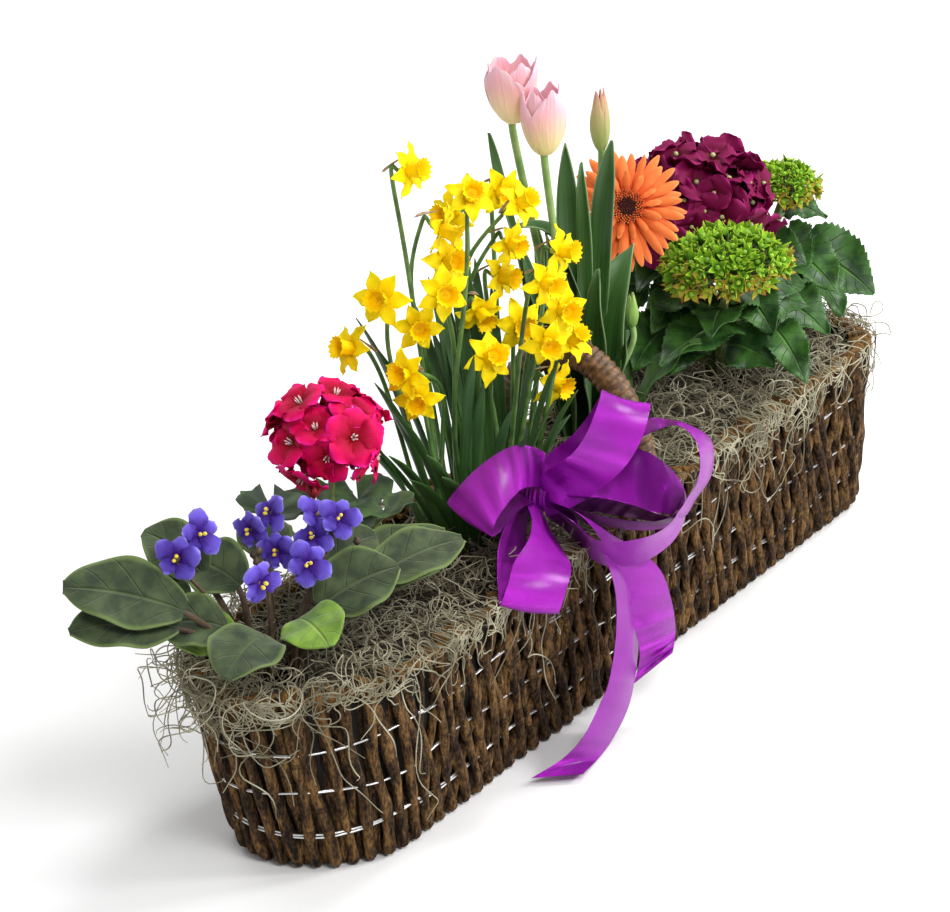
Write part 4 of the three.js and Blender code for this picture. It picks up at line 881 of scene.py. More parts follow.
def violet_leaves():
    """A rosette of fuzzy leaves on short stalks, two of them young and pale"""
    old = leaf_finish("violet_leaf", (0.017, 0.032, 0.011), (0.060, 0.090, 0.032), (0.16, 0.23, 0.06),
                      veins=4, slant=1.1, roughness=0.75, depth=0.0022, sheen=0.1, edging=0.7)
    young = leaf_finish("violet_young_leaf", (0.07, 0.16, 0.012), (0.20, 0.34, 0.03), (0.26, 0.38, 0.07),
                        veins=5, slant=1.2, roughness=0.7, depth=0.0012, sheen=0.2)
    stalk = plain_finish("violet_stalk", (0.045, 0.022, 0.014), (0.10, 0.065, 0.030), 90)
    bm = bmesh.new()
    stems = []
    face = (UP + SUNWARD * 0.9).normalized()
    for i, (root, tip, width) in enumerate(leaf_rows(VIOLET_LEAVES)):
        middle = root.lerp(tip, 0.5) + UP * 0.009
        blade(bm, root, middle, tip, face, width * 1.12, "oval", 12, 26, fold=0.22, wave=0.0022, curl=0.1,
              finish=int(i in VIOLET_YOUNG), phase=i)
        away = Vector((root.x - VIOLET_BASE.x, root.y - VIOLET_BASE.y, 0)).normalized()
        start = VIOLET_BASE + away * 0.015
        knee = start.lerp(root, 0.5) + UP * 0.006
        inner = root + (tip - root).normalized() * 0.006
        stems.append([(start, 1.1), (knee, 1.0), (root, 0.9), (inner, 0.5)])
    piece("violet_rosette", bm, [old, young], "violet_leaves", "violet_leaf", thickness=0.0014)
    rods("violet_leaf_stalks", stems, 0.0026, stalk, slot="violet_leaf")
    return stalk


def violet_bloom(bm):
    """Five round petals, the two upper ones smaller, and two yellow anthers"""
    for i in range(5):
        out = spoke(2 * math.pi * i / 5 + math.pi / 2)
        size = 0.8 if i in (1, 4) else 1.0
        root, tip = out * 0.0012, out * 0.0180 * size + UP * (0.0035 * math.sin(i * 2.6))
        blade(bm, root, root.lerp(tip, 0.5) + UP * 0.0042, tip, UP, 0.0150 * size, "petal", 6, 10, fold=-0.22,
              wave=0.0016, phase=i * 1.7)
    for side in (-1, 1):
        at = Vector((side * 0.0013, 0, 0.003))
        points = [at, at + Vector((side * 0.0004, 0, 0.0022)), at + Vector((side * 0.0006, 0, 0.0042))]
        bead(bm, points, 0.0013, 0.5, rows=5)


def violet_trusses(stalk):
    """Three forked stalks, each with its blooms and three buds"""
    petals = petal_finish("violet_petal", (0.040, 0.004, 0.20), (0.145, 0.095, 0.60), (0.33, 0.27, 0.82), 0.75,
                          streak=14, relief=0.0015)
    anther = plain_finish("violet_anther", (0.75, 0.5, 0.03), (0.95, 0.75, 0.08))
    pattern = model(violet_bloom)
    draw = random.Random(6)
    for number, blooms in enumerate(VIOLET_TRUSSES):
        bm = bmesh.new()
        centres = [mm(*bloom[:3]) for bloom in blooms]
        fork = sum((centre - UP * 0.026 for centre in centres), Vector()) / len(blooms)
        start = VIOLET_BASE + Vector((-0.004 + 0.004 * number, 0.005 - 0.005 * number, 0))
        knee = start.lerp(fork, 0.3)
        knee.z = start.z + 0.034
        runs = [[(start, 1.4), (knee, 1.2), (fork, 1.0)]]
        for centre, bloom in zip(centres, blooms):
            facing = (direction(*bloom[3:]) + scatter(draw, 0.3, 0.3, 0.25)).normalized()
            add_copy(bm, pattern, centre, facing, draw.uniform(-0.6, 0.6), draw.uniform(0.90, 1.04))
            runs.append([(fork, 0.9), (centre - facing * 0.008 - UP * 0.006, 0.7), (centre, 0.5)])
        for _ in range(3):
            bud = fork + Vector((draw.uniform(-0.02, 0.02), draw.uniform(-0.02, 0.02), draw.uniform(0.006, 0.020)))
            runs.append([(fork, 0.7), (fork.lerp(bud, 0.6) - UP * 0.002, 0.6), (bud, 0.5)])
            runs.append([(bud, 0.4), (bud + UP * 0.002, 2.2), (bud + UP * 0.005, 1.8), (bud + UP * 0.007, 0.3)])
        node = f"violet_blooms_{number + 1}"
        piece(f"violet_flowers_{number + 1}", bm, [petals, anther], node, "violet_bloom", PETAL_THICKNESS)
        rods(f"violet_truss_{number + 1}", runs, 0.0014, stalk, slot="violet_bloom")


# Geranium

GERANIUM_BASE = mm(-283, 30, PLANTED)
GERANIUM_HEAD = (mm(-277, 28, 272), mm(51, 51, 44))
GERANIUM_BUD = mm(-314, 20, 241)
GERANIUM_LEAVES = [
    (-286, 50, 206, -300, 92, 224, 52), (-270, 46, 196, -236, 74, 214, 50), (-262, 30, 204, -216, 36, 216, 52),
    (-272, 12, 206, -250, -22, 224, 44), (-256, 40, 176, -206, 62, 182, 46), (-300, 42, 190, -342, 70, 200, 42),
]


def round_leaf(bm, centre, facing, radius):
    """A round cupped leaf with nine scallops and a slit at its stalk"""
    side = facing.orthogonal().normalized()
    lift = facing.cross(side)

    def place(u, v):
        angle = 2 * math.pi * (0.03 + 0.94 * u)
        reach = radius * v * (1 + 0.07 * math.cos(9 * 2 * math.pi * u) * v)
        rise = radius * (0.25 * v ** 2 + 0.07 * v * math.cos(5 * angle))
        return centre + (side * math.cos(angle) + lift * math.sin(angle)) * reach + facing * rise
    patch(bm, 36, 6, place)


def geranium_leaves():
    green = plain_finish("geranium_leaf", (0.012, 0.040, 0.010), (0.06, 0.13, 0.028), 60, 0.6, 0.0012)
    stalk = plain_finish("geranium_stem", (0.16, 0.24, 0.06), (0.28, 0.36, 0.12), 80)
    bm = bmesh.new()
    runs = []
    for root, tip, width in leaf_rows(GERANIUM_LEAVES):
        centre = root.lerp(tip, 0.5)
        facing = (UP + (tip - root).normalized() * -0.2).normalized()
        round_leaf(bm, centre, facing, width * 0.52)
        knee = GERANIUM_BASE.lerp(root, 0.6) + UP * 0.004
        runs.append([(GERANIUM_BASE, 1), (knee, 0.9), (centre - UP * 0.002, 0.7)])
    head = GERANIUM_HEAD[0]
    runs.append([(GERANIUM_BASE, 1.6), (GERANIUM_BASE.lerp(head, 0.5), 1.4), (head - UP * 0.012, 1.2)])
    piece("geranium_foliage", bm, [green], "geranium_leaves", "leaf", LEAF_THICKNESS)
    rods("geranium_stems", runs, 0.0020, stalk, slot="leaf")
    return stalk


def geranium_floret(bm):
    """Five round petals and five thin stamens"""
    for i in range(5):
        out = spoke(2 * math.pi * i / 5)
        root, tip = out * 0.001, out * 0.0205 + UP * (0.002 + 0.003 * math.sin(i * 2.2))
        blade(bm, root, root.lerp(tip, 0.55) + UP * 0.0066, tip, UP, 0.0195, "round", 8, 10, fold=-0.18,
              wave=0.0018, phase=i * 2.1)
    for i in range(5):
        out = spoke(2 * math.pi * i / 5 + 0.4) * 0.0012
        tube(bm, [out, out * 1.4 + UP * 0.003, out * 2 + UP * 0.006], lambda t: 0.00035, 4, 4, finish=1)


def geranium_head(stalk):
    """A loose ball of florets, and a closed bud on its own stem"""
    petals = petal_finish("geranium_petal", (0.30, 0.0, 0.01), (0.82, 0.0, 0.115), (0.88, 0.010, 0.30), 0.8,
                          streak=26, relief=0.0015)
    stamen = plain_finish("geranium_stamen", (0.85, 0.6, 0.62), (0.95, 0.85, 0.85))
    closed = plain_finish("geranium_bud", (0.20, 0.010, 0.012), (0.42, 0.016, 0.030), 200)
    hub = GERANIUM_HEAD[0] - UP * 0.012
    bm, runs = flower_head(GERANIUM_HEAD, model(geranium_floret), dome(19, -0.6), dome(7, -0.7), (0.60, 0.84), 0.45,
                           0.24, (0.92, 1.10), hub, 0.6, random.Random(12))
    runs.append([(GERANIUM_BASE, 1.3), (GERANIUM_BASE.lerp(GERANIUM_BUD, 0.6), 1.1), (GERANIUM_BUD, 0.9)])
    buds = []
    for turn in range(5):
        top = GERANIUM_BUD + Vector((0.0045 * math.cos(1.3 * turn), 0.0045 * math.sin(1.3 * turn), 0.008))
        buds.append([(GERANIUM_BUD, 0.3), (GERANIUM_BUD.lerp(top, 0.45), 0.9), (top, 0.9), (top + UP * 0.003, 0.2)])
    rods("geranium_buds", buds, 0.0024, closed, slot="geranium_bloom")
    piece("geranium_florets", bm, [petals, stamen], "geranium_head", "geranium_bloom", PETAL_THICKNESS)
    rods("geranium_head_stalks", runs, 0.0013, stalk, slot="geranium_bloom", sides=1)


# Daffodils

DAFFODIL_BASE = mm(-110, 8, PLANTED)
STEM_CLEARANCE = 0.026

# Each bloom: its centre in mm, then the azimuth and elevation that its trumpet points to
DAFFODILS = [
    (-190, 5, 452, -90, 10), (-218, 15, 362, -170, 15), (-216, 45, 318, 155, 20), (-165, 20, 322, -140, 5),
    (-175, -10, 356, -135, 10), (-215, 0, 305, -180, 15), (-186, 10, 274, -155, 0), (-151, 5, 396, -80, -20),
    (-128, 15, 361, -110, 15), (-94, 30, 386, 165, 10), (-163, -30, 428, -135, 40), (-33, 25, 386, -120, -5),
    (-79, -20, 396, -95, 30), (-64, 0, 358, -105, -10), (-25, -20, 342, -90, 5), (-44, 22, 322, -95, 0),
    (-106, -55, 348, -110, -5), (-87, 15, 309, -120, -25), (-30, 15, 278, -130, 10), (-62, -42, 310, -120, 5),
    (-103, -52, 300, -135, -5), (-34, -32, 274, -95, 40), (-118, -10, 286, -115, 25), (-28, -10, 236, -100, -10),
]

# Strap leaves in mm: root x and y, tip x, y and z, and width
DAFFODIL_LEAVES = [
    (-170, 18, -215, 80, 280, 10), (-172, 10, -204, 84, 258, 10), (-168, 2, -232, 8, 246, 9),
    (-160, -8, -228, -22, 250, 10), (-160, 14, -206, 34, 290, 9), (-150, 24, -186, 60, 330, 10),
    (-140, 6, -150, -18, 300, 9), (-130, -12, -140, -42, 258, 10), (-124, 14, -116, 40, 342, 10),
    (-112, 26, -104, 60, 312, 10), (-104, -8, -86, -36, 266, 10), (-98, 14, -78, 44, 356, 10),
    (-86, 26, -66, 58, 308, 9), (-80, 0, -56, -20, 284, 10), (-74, 18, -34, 50, 330, 10),
    (-68, -12, -40, -40, 238, 9), (-62, 10, -20, 24, 216, 9), (-56, 22, -12, 46, 262, 10),
    (-60, 0, -16, -18, 206, 9),
]


def daffodil_bloom(bm):
    """Two whorls of three tepals, and a ruffled trumpet in front of a short tube"""
    for i in range(6):
        out = spoke(math.pi * i / 3)
        lift = 0.0016 if i % 2 else 0.0
        reach, drop = 0.0225 + 0.0015 * math.sin(i * 2.3), lift - 0.002 + 0.002 * math.sin(i * 4.1)
        root, tip = out * 0.003, out * reach + UP * drop
        blade(bm, root, root.lerp(tip, 0.5) + UP * (0.0035 + lift), tip, UP, 0.0132, "tepal", 6, 10, fold=0.22,
              wave=0.0012, phase=i * 1.3)

    def trumpet(u, v):
        angle = 2 * math.pi * u
        flare = 0.0050 + 0.0016 * v + 0.0024 * max(0, v - 0.72) / 0.28
        ruffle = 1 + 0.04 * math.cos(6 * angle) + 0.11 * math.cos(13 * angle) * max(0, v - 0.6) / 0.4
        frill = 0.0008 * math.cos(13 * angle + 1) * max(0, v - 0.8) / 0.2
        return spoke(angle) * flare * ruffle + UP * (0.001 + 0.0155 * v + frill)
    patch(bm, 39, 8, trumpet, finish=1)
    patch(bm, 12, 2, lambda u, v: spoke(2 * math.pi * u) * 0.0056 * v + UP * 0.007, finish=1)
    tube(bm, [UP * -0.009, UP * -0.005, UP * 0.001], lambda t: 0.0017 + 0.0024 * t, 8, 5, finish=2)
    for i in range(3):
        out = spoke(2 * math.pi * i / 3) * 0.0012
        tube(bm, [out + UP * 0.002, out + UP * 0.006, out + UP * 0.0095], lambda t: 0.0005, 4, 4, finish=1)


def bent_clear(points, own):
    """Moves the two middle points of a stem sideways until it passes clear of every bloom but its own"""
    others = [mm(*bloom[:3]) for bloom in DAFFODILS]
    others = [other for other in others if (other - own).length > 0.001]
    for _ in range(20):
        at = path_of(points)
        for other in others:
            for step in range(3, 14):
                t = step / 16
                away = at(t) - other
                short = STEM_CLEARANCE - away.length
                if short > 0:
                    away.z = 0
                    away.normalize()
                    points[1] = points[1] + away * short * 0.3 * (1 - t)
                    points[2] = points[2] + away * short * 0.3 * t
    return points


def daffodils():
    """Separate blooms on bent stems with dry husks, and a clump of strap leaves"""
    tepal = petal_finish("daffodil_tepal", (0.80, 0.60, 0.0), (0.93, 0.74, 0.0), (0.96, 0.80, 0.008), 0.4)
    trumpet = petal_finish("daffodil_trumpet", (0.90, 0.58, 0.0), (0.96, 0.64, 0.0), (1.0, 0.70, 0.0), 0.5)
    throat = plain_finish("daffodil_tube", (0.45, 0.52, 0.05), (0.70, 0.68, 0.05))
    stem = plain_finish("daffodil_stem", (0.05, 0.13, 0.025), (0.12, 0.24, 0.05), 60, 0.45)
    papery = plain_finish("daffodil_spathe", (0.30, 0.20, 0.10), (0.55, 0.42, 0.26), 200, 0.8)
    leaf = strap_finish("daffodil_leaf", (0.010, 0.050, 0.010), (0.060, 0.16, 0.028))
    pattern = model(daffodil_bloom)
    draw = random.Random(11)
    stems, husks = [], bmesh.new()
    for number, (x, y, z, azimuth, elevation) in enumerate(DAFFODILS):
        centre, facing = mm(x, y, z), direction(azimuth, elevation)
        bm = bmesh.new()
        add_copy(bm, pattern, centre, facing, number * 0.7, draw.uniform(0.84, 1.0))
        node = f"daffodil_bloom_{number + 1:02d}"
        piece(f"daffodil_{number + 1:02d}", bm, [tepal, trumpet, throat], node, "daffodil_bloom", PETAL_THICKNESS)
        out = centre - DAFFODIL_BASE
        aside = Vector((0.0544 * max(-1, min(1, out.x / 0.09)), 0.0182 * max(-1, min(1, out.y / 0.06)), 0))
        foot = DAFFODIL_BASE + aside
        neck = centre - facing * 0.0145
        behind = Vector((0.022, 0.014, 0)) if z > 300 else Vector()
        low, high = foot.lerp(neck, 0.33) + behind, foot.lerp(neck, 0.72) + UP * 0.006 + behind
        at = path_of([*bent_clear([foot, low, high, neck], centre), centre - facing * 0.008])
        stems.append([(at(i / 14), 1.0 - 0.25 * i / 14) for i in range(15)])
        turn = facing.cross(UP).normalized()
        tip = neck + facing * 0.012 + UP * 0.011 + turn * draw.uniform(-0.004, 0.004)
        blade(husks, neck - facing * 0.006, neck + UP * 0.004, tip, UP, 0.0065, "lance", 4, 6, fold=0.4)
    bm = bmesh.new()
    for i, (x, y, tip_x, tip_y, tip_z, width) in enumerate(DAFFODIL_LEAVES):
        for copy in range(2):
            shift = Vector((0.009 * copy, -0.006 * copy, 0))
            stray = Vector((draw.uniform(-0.006, 0.006), draw.uniform(-0.006, 0.006), -0.022)) * copy
            start, end = mm(x, y, PLANTED) + shift, mm(tip_x, tip_y, tip_z) + stray + shift
            middle = start.lerp(end, 0.25)
            middle.z = start.z + (end.z - start.z) * 0.6
            face = Vector((DAFFODIL_BASE.x - end.x, DAFFODIL_BASE.y - end.y + 0.02, 0.04)).normalized()
            blade(bm, start, middle, end, face, width / 1000, "strap", 4, 18, fold=0.2, curl=-0.1, phase=i)
    piece("daffodil_straps", bm, [leaf], "daffodil_leaves", "leaf", LEAF_THICKNESS)
    rods("daffodil_stems", stems, 0.0021, stem, slot="leaf", sides=1)
    piece("daffodil_spathes", husks, [papery], slot="leaf", thickness=0.0003)


# Tulips

TULIP_BASE = mm(62, 20, PLANTED)

# Each head: centre, radius, height, how open it is
TULIPS = [
    (mm(22, 44, 447), 0.0192, 0.049, 0.85),
    (mm(10, 10, 431), 0.0190, 0.052, 0.68),
    (mm(91, 8, 408), 0.011, 0.048, 0.25),
    (mm(84, -18, 258), 0.0075, 0.027, 0.20),
]

# Each leaf in mm: tip, the point it bends to, root, and width
TULIP_LEAVES = [
    (10, 60, 415, 20, 40, 300, 54, 30, 144, 11), (49, 15, 401, 44, 14, 300, 60, 18, 144, 17),
    (38, -5, 391, 52, 2, 290, 58, 12, 144, 12), (85, -5, 395, 68, 4, 290, 66, 12, 144, 19),
    (-12, 30, 349, 74, 10, 350, 64, 12, 144, 23), (105, -10, 305, 50, -2, 270, 62, 6, 144, 38),
    (48, -35, 256, 66, -18, 210, 62, 6, 144, 13), (1, 30, 330, 22, 26, 260, 52, 26, 144, 22),
    (22, 20, 336, 34, 14, 270, 54, 20, 144, 24), (39, -15, 306, 46, -6, 250, 58, 10, 144, 24),
    (9, 0, 300, 22, 2, 250, 52, 14, 144, 22), (18, -18, 262, 30, -12, 230, 54, 8, 144, 20),
    (60, 52, 330, 64, 44, 250, 66, 28, 144, 22), (98, 42, 300, 88, 36, 240, 72, 26, 144, 24),
]


def tulip_leaves():
    """Leaves that turn their faces to the light, and the stems of the heads"""
    # The pale edge, at 0.4, is a painted highlight along the leaves' rims
    leaf = strap_finish("tulip_leaf", (0.012, 0.050, 0.010), (0.058, 0.155, 0.030), 0.4)
    stem = plain_finish("tulip_stem", (0.16, 0.30, 0.07), (0.28, 0.42, 0.13), 60, 0.45)
    bm = bmesh.new()
    for i, row in enumerate(TULIP_LEAVES):
        tip, middle, root, width = mm(*row[:3]), mm(*row[3:6]), mm(*row[6:9]), row[9] / 1000
        inward = Vector((TULIP_BASE.x - tip.x, TULIP_BASE.y - tip.y, 0)) * 12
        face = (SUNWARD + inward + UP * 0.2).normalized()
        outline = "strap" if tip.z > 0.38 else "lance"
        blade(bm, root, middle, tip, face, width * 1.1, outline, 8, 26, fold=0.35, wave=0.0022, phase=i)
    runs = []
    for centre, radius, height, _ in TULIPS:
        top = centre - UP * height / 2
        foot = TULIP_BASE.lerp(top, 0.16)
        foot.z = TULIP_BASE.z
        at = path_of([foot, foot.lerp(top, 0.5) + Vector((0.003, 0, 0)), top - UP * 0.014, top + UP * 0.003])
        runs.append([(at(i / 10), 1 if radius > 0.01 else 0.75) for i in range(11)])
    piece("tulip_foliage", bm, [leaf], "tulip_leaves", "leaf", thickness=0.0012)
    rods("tulip_stems", runs, 0.0031, stem, slot="leaf")


def tulip_head(number, centre, radius, height, opened, finish, pistil, slot):
    """Three inner and three outer petals, each a part of one egg-shaped shell"""
    bm = bmesh.new()
    bottom = centre - UP * height / 2

    def petal(turn, spread, shrink):
        def place(u, v):
            across = 2 * u - 1
            angle = turn + across * spread * (0.25 + 0.75 * math.sin(math.pi * min(1, 0.16 + 0.72 * v)) ** 0.8)
            swell = math.sin(math.pi * (0.06 + 0.62 * v ** 0.8)) ** 0.75
            flare = (opened - 0.55) * 0.55 * v ** 3
            reach = radius * shrink * (swell * (0.74 + 0.26 * opened) + flare)
            reach *= 1 + 0.06 * across ** 2 * v + 0.05 * math.exp(-(across / 0.16) ** 2) * (v - 0.3)
            reach *= 1 - 0.75 * max(0, 0.85 - opened) * v ** 2
            crinkle = 0.02 * math.sin(9 * across + 5 * turn) * v ** 2
            peak = v * height * (1 - 0.24 * abs(across) ** 1.4 * v + 0.03 * math.sin(turn * 5) + crinkle)
            return bottom + spoke(angle) * reach + UP * peak
        patch(bm, 14, 16, place)
    for ring, (spread, shrink) in enumerate(((1.15, 0.86), (1.25, 1.0))):
        for i in range(3):
            petal(2 * math.pi * i / 3 + ring * math.pi / 3 - number, spread, shrink)
    piece(f"tulip_petals_{number + 1}", bm, [finish], f"tulip_head_{number + 1}", slot, thickness=0.0008)
    if opened > 0.5:
        column = ((0.001, 0.8), (0.012, 1), (0.021, 0.9), (0.023, 1.7), (0.025, 0.6))
        heart = [[(bottom + UP * rise, share) for rise, share in column]]
        for i in range(6):
            out = spoke(math.pi * i / 3)
            foot = bottom + out * 0.002 + UP * 0.002
            heart.append([(foot, 0.3), (foot + out * 0.003 + UP * 0.008, 0.3), (foot + out * 0.004 + UP * 0.010, 0.6),
                          (foot + out * 0.005 + UP * 0.017, 0.5)])
        rods(f"tulip_pistil_{number + 1}", heart, 0.0020, pistil, slot=slot, sides=1)


def tulips():
    tulip_leaves()
    pink = petal_finish("tulip_petal", (0.90, 0.74, 0.42), (0.86, 0.42, 0.48), (0.92, 0.58, 0.70), 0.9,
                        streak=14, roughness=0.5, relief=0.003)
    streaked = petal_finish("tulip_streaked_petal", (0.72, 0.64, 0.28), (0.86, 0.44, 0.48), (0.92, 0.56, 0.70), 0.8,
                            streak=10, roughness=0.5, relief=0.003)
    closed = petal_finish("tulip_bud_petal", (0.30, 0.36, 0.10), (0.46, 0.36, 0.18), (0.60, 0.27, 0.24), 0.9,
                          streak=12, roughness=0.45)
    small = petal_finish("tulip_green_bud", (0.16, 0.30, 0.06), (0.26, 0.42, 0.10), (0.36, 0.48, 0.16), 0.6,
                         streak=12, roughness=0.45)
    pistil = plain_finish("tulip_pistil", (0.30, 0.40, 0.08), (0.62, 0.60, 0.20), 200)
    for number, (tulip, finish) in enumerate(zip(TULIPS, (pink, streaked, closed, small))):
        tulip_head(number, *tulip, finish, pistil, "tulip_bloom" if number < 2 else "tulip_bud")


# Gerbera

GERBERA = mm(138, 14, 322)
GERBERA_FACING = direction(-150, 32)
GERBERA_RADIUS = 0.050
GERBERA_BASE = mm(128, 22, PLANTED)
GERBERA_LEAVES = [
    (132, 28, 144, 168, 66, 208, 34), (124, 30, 144, 116, 74, 216, 34), (134, 16, 144, 172, -30, 204, 32),
]

# Each ring of rays: count, share of the radius, height, and how far the tips droop
GERBERA_RINGS = ((17, 1.0, -0.0026, 0.006), (17, 0.93, -0.0008, 0.003), (13, 0.58, 0.0012, -0.002))
DISC_TUBES = 170


def gerbera_rays(bm):
    draw = random.Random(8)
    for layer, (count, reach, height, droop) in enumerate(GERBERA_RINGS):
        for i in range(count):
            out = spoke(2 * math.pi * (i + 0.5 * (layer % 2)) / count + draw.uniform(-0.04, 0.04))
            length = GERBERA_RADIUS * reach * draw.uniform(0.88, 1.04)
            root = out * 0.008 + UP * height
            tip = out * length + UP * (height - droop + draw.uniform(-0.005, 0.004))
            middle = root.lerp(tip, 0.55) + UP * 0.004
            face = (UP + scatter(draw, 0.22, 0.22).to_3d()).normalized()
            width = draw.uniform(0.0070, 0.0086) * (0.72 if layer == 2 else 1)
            blade(bm, root, middle, tip, face, width, "ray", 4, 12, fold=-0.35, wave=0.0006, waves=3, phase=i)


def gerbera_disc(bm):
    """A low dome of tiny tubes: dark in the middle, with an orange ring"""
    patch(bm, 24, 4, lambda u, v: spoke(2 * math.pi * u) * 0.0140 * v + UP * (0.0008 + 0.0008 * (1 - v)))
    for i in range(DISC_TUBES):
        spread = math.sqrt((i + 0.5) / DISC_TUBES)
        foot = spoke(i * GOLDEN_ANGLE) * 0.0130 * spread + UP * 0.0008
        tip = foot + Vector((foot.x * 0.12, foot.y * 0.12, 0.0034 + 0.0016 * spread))
        tube(bm, [foot, foot.lerp(tip, 0.5), tip], lambda t: 0.00062 + 0.0003 * t, 4, 3, finish=int(spread > 0.5))


def gerbera():
    petals = petal_finish("gerbera_petal", (0.62, 0.07, 0.010), (0.84, 0.185, 0.042), (0.92, 0.30, 0.09), 0.5,
                          streak=10)
    dark = plain_finish("gerbera_disc", (0.018, 0.002, 0.002), (0.16, 0.015, 0.008), 500, 0.8, 0.0012)
    ring_tone = plain_finish("gerbera_disc_ring", (0.52, 0.05, 0.012), (0.88, 0.26, 0.05), 600, 0.7, 0.001)
    leaf = leaf_finish("gerbera_leaf", (0.02, 0.07, 0.015), (0.08, 0.18, 0.035), (0.14, 0.26, 0.07))
    stem = plain_finish("gerbera_stem", (0.12, 0.22, 0.05), (0.22, 0.34, 0.10), 70)
    bm = bmesh.new()
    add_copy(bm, model(gerbera_rays), GERBERA, GERBERA_FACING)
    piece("gerbera_rays", bm, [petals], "gerbera_petals", "gerbera_bloom", PETAL_THICKNESS)
    bm = bmesh.new()
    add_copy(bm, model(gerbera_disc), GERBERA, GERBERA_FACING)
    piece("gerbera_eye", bm, [dark, ring_tone], "gerbera_disc", "gerbera_disc")
    bm = bmesh.new()
    for i, (root, tip, width) in enumerate(leaf_rows(GERBERA_LEAVES)):
        middle = root.lerp(tip, 0.5) + UP * 0.024
        blade(bm, root, middle, tip, UP, width, "lance", 8, 20, fold=0.2, wave=0.003, phase=i)
    piece("gerbera_foliage", bm, [leaf], "gerbera_leaves", "leaf", LEAF_THICKNESS)
    end = GERBERA - GERBERA_FACING * 0.005
    neck = end - GERBERA_FACING * 0.008
    bend = neck - GERBERA_FACING * 0.008 - UP * 0.014
    at = path_of([GERBERA_BASE, GERBERA_BASE.lerp(bend, 0.5) + Vector((0.002, 0.004, 0)), bend, neck, end])
    rods("gerbera_stem", [[(at(i / 14), 1) for i in range(15)]], 0.0028, stem, slot="leaf")


# Hydrangea

HYDRANGEA_BASE = mm(262, 5, PLANTED)

# Each head: centre and half sizes
BURGUNDY = (mm(262, 22, 282), mm(55, 55, 46))
GREEN_FRONT = (mm(189, -46, 266), mm(50, 46, 24))
GREEN_BACK = (mm(366, -6, 272), mm(26, 26, 18))
HYDRANGEA_LEAVES = [
    (369, -20, 218, 384, -78, 182, 60), (390, 11, 243, 401, -26, 236, 26), (358, -9, 232, 319, -43, 204, 52),
    (365, -24, 202, 341, -70, 176, 44), (221, -34, 205, 138, -10, 192, 52), (235, -15, 215, 287, -67, 202, 42),
    (243, -58, 196, 206, -106, 168, 36), (221, -27, 184, 212, -74, 174, 44), (231, -13, 222, 184, 27, 218, 44),
    (220, -20, 234, 288, -62, 216, 50), (260, 32, 236, 190, 37, 232, 46), (215, 24, 196, 144, 17, 182, 44),
    (305, 1, 235, 317, -50, 226, 50), (229, 3, 192, 161, -6, 176, 44), (302, -24, 198, 296, -80, 176, 50),
    (250, 22, 216, 170, 12, 206, 50), (249, -25, 220, 220, -70, 200, 48), (348, -19, 222, 323, -74, 204, 50),
    (250, 60, 214, 216, 110, 206, 56), (300, 60, 214, 346, 104, 204, 58), (196, 36, 192, 146, 76, 190, 54),
    (330, 30, 218, 392, 52, 212, 50), (226, -22, 214, 160, -46, 214, 44),
]


def hydrangea_leaves():
    """Broad toothed leaves that turn their faces to the light, and the stems of the heads"""
    leaf = leaf_finish("hydrangea_leaf", (0.009, 0.040, 0.008), (0.050, 0.150, 0.022), (0.12, 0.27, 0.05),
                       veins=8, slant=1.6, roughness=0.36, depth=0.0022)
    stem = plain_finish("hydrangea_stem", (0.12, 0.20, 0.05), (0.24, 0.32, 0.10), 70)
    bm = bmesh.new()
    runs = []
    for i, (root, tip, width) in enumerate(leaf_rows(HYDRANGEA_LEAVES)):
        middle = root.lerp(tip, 0.5) + UP * 0.012
        stray = Vector((0.5 * math.sin(i * 2.4), 0.5 * math.cos(i * 3.1), 0))
        face = (SUNWARD + UP * 0.45 + stray).normalized()
        blade(bm, root, middle, tip, face, width * 1.05, "heart", 10, 60, fold=0.22, wave=0.004, teeth=15, bite=0.13,
              phase=i)
        knee = HYDRANGEA_BASE.lerp(root, 0.5) + UP * 0.006
        runs.append([(HYDRANGEA_BASE, 1), (knee, 0.9), (root, 0.8), (root.lerp(tip, 0.15) - UP * 0.001, 0.5)])
    for centre, size in (BURGUNDY, GREEN_FRONT, GREEN_BACK):
        top = centre - UP * size.z * 0.3
        middle = HYDRANGEA_BASE.lerp(top, 0.5) - UP * 0.004
        runs.append([(HYDRANGEA_BASE, 1.4), (middle, 1.3), (top, 1.2)])
    piece("hydrangea_foliage", bm, [leaf], "hydrangea_leaves", "dark_leaf", LEAF_THICKNESS)
    rods("hydrangea_stems", runs, 0.0027, stem, slot="dark_leaf")
    return stem


def hydrangea_floret(bm):
    """Four broad petals round a small bead"""
    for i in range(4):
        out = spoke(math.pi * i / 2)
        reach, lift = 0.0125 + 0.0014 * math.sin(i * 2.7), 0.001 + 0.003 * math.sin(i * 1.6)
        root, tip = out * 0.0008, out * reach + UP * lift
        blade(bm, root, root.lerp(tip, 0.5) + UP * 0.0036, tip, UP, 0.0155, "round", 6, 7, fold=-0.1, wave=0.0014,
              phase=i * 1.9)
    bead(bm, [UP * 0.0005, UP * 0.002, UP * 0.0035], 0.0014, 0.6)


def hydrangea_bud(bm):
    """A tiny green flower: four short petals round a bead"""
    for i in range(4):
        out = spoke(math.pi * i / 2)
        root, tip = out * 0.0004, out * 0.0046 + UP * (0.0048 - 0.0012 * (i % 2))
        blade(bm, root, root.lerp(tip, 0.5) - UP * 0.0004, tip, UP, 0.0036, "tepal", 2, 4, fold=0.4)
    bead(bm, [UP * 0, UP * 0.0020, UP * 0.0038], 0.0013, 0.6, sides=5)


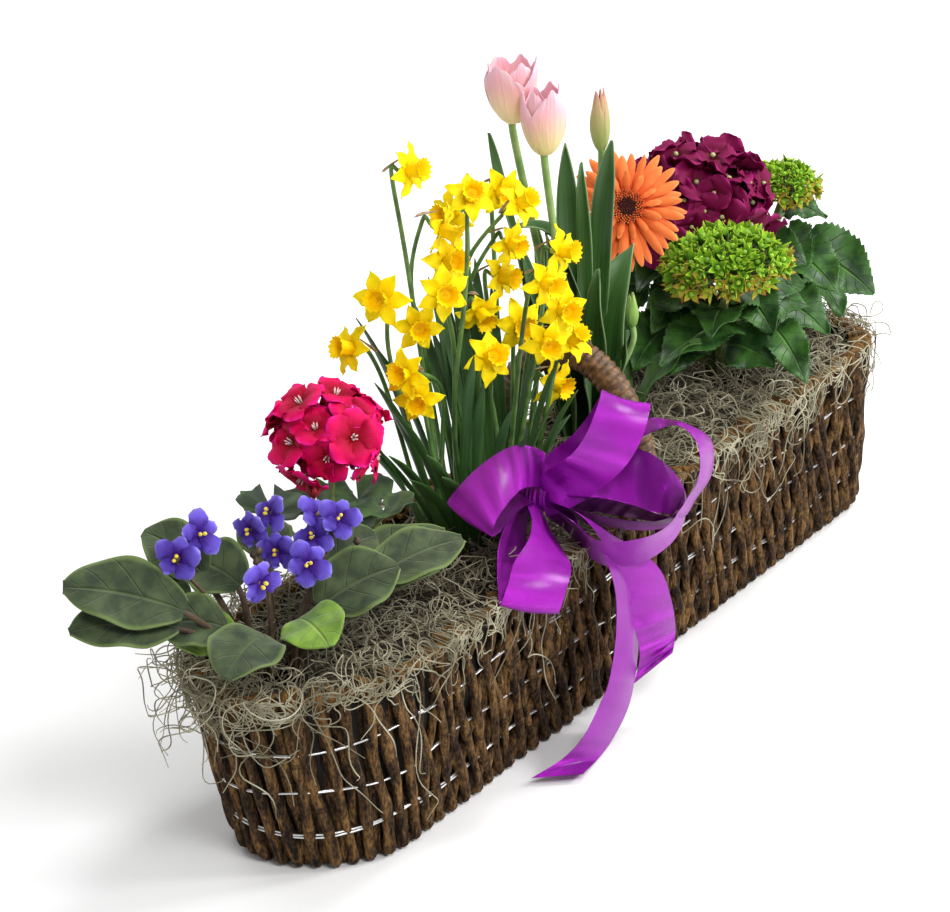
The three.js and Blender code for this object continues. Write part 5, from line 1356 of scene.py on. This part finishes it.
def hydrangea_head(name, head, pattern, count, lowest, finishes, replaced, slot, stem, draw, rough, sizes):
    hub = head[0] - UP * head[1].z * 0.3
    bm, runs = flower_head(head, pattern, dome(count, lowest), dome(count // 4, lowest), (0.86, 1.06), 0.8,
                           rough, sizes, hub, 0.5, draw, flushed=len(finishes) > 2)
    piece(name, bm, finishes, replaced, slot, thickness=0.0004)
    rods(name + "_stalks", runs, 0.0011, stem, slot=slot, sides=1)


def hydrangea():
    """The leaves, a burgundy head and two green ones"""
    stem = hydrangea_leaves()
    draw = random.Random(3)
    burgundy = petal_finish("burgundy_petal", (0.11, 0.002, 0.02), (0.17, 0.001, 0.050), (0.30, 0.008, 0.12), 0.5)
    bead_tone = plain_finish("hydrangea_bead", (0.30, 0.25, 0.12), (0.45, 0.50, 0.20))
    # The green florets' dark root colour is painted shade, standing in for the gaps deep in the heads
    green = petal_finish("green_petal", (0.06, 0.20, 0.01), (0.24, 0.46, 0.015), (0.48, 0.60, 0.05), 0.8)
    ruddy = petal_finish("ruddy_petal", (0.26, 0.42, 0.02), (0.38, 0.34, 0.03), (0.42, 0.03, 0.06), 0.6)
    lime = plain_finish("green_bead", (0.16, 0.34, 0.02), (0.36, 0.56, 0.04))
    floret, bud = model(hydrangea_floret), model(hydrangea_bud)
    hydrangea_head("burgundy_florets", BURGUNDY, floret, 78, -0.6, [burgundy, bead_tone], "hydrangea_head_burgundy",
                   "burgundy_bloom", stem, draw, 0.4, (1.2, 1.75))
    hydrangea_head("green_florets_front", GREEN_FRONT, bud, 215, -0.4, [green, lime, ruddy], "hydrangea_head_front",
                   "green_bloom", stem, draw, 0.6, (1.0, 2.0))
    hydrangea_head("green_florets_back", GREEN_BACK, bud, 90, -0.4, [green, lime, ruddy], "hydrangea_head_back",
                   "green_bloom", stem, draw, 0.45, (0.9, 1.7))


def carried_over():
    """What the basket holds, on its own solids"""
    finishes = {
        "soil": material("potting_soil", potting_soil),
        "liner": material("black_film", black_film),
        "base_board": material("plain_board", plain_wood),
        "bow_pick": material("pick_wood", plain_wood),
    }
    for name, finish in finishes.items():
        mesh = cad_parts[name].data
        mesh.materials.clear()
        mesh.materials.append(finish)


camera()
studio()
carried_over()
basket()
wires()
handle()
moss()
bow()
violet_trusses(violet_leaves())
geranium_head(geranium_leaves())
daffodils()
tulips()
gerbera()
hydrangea()
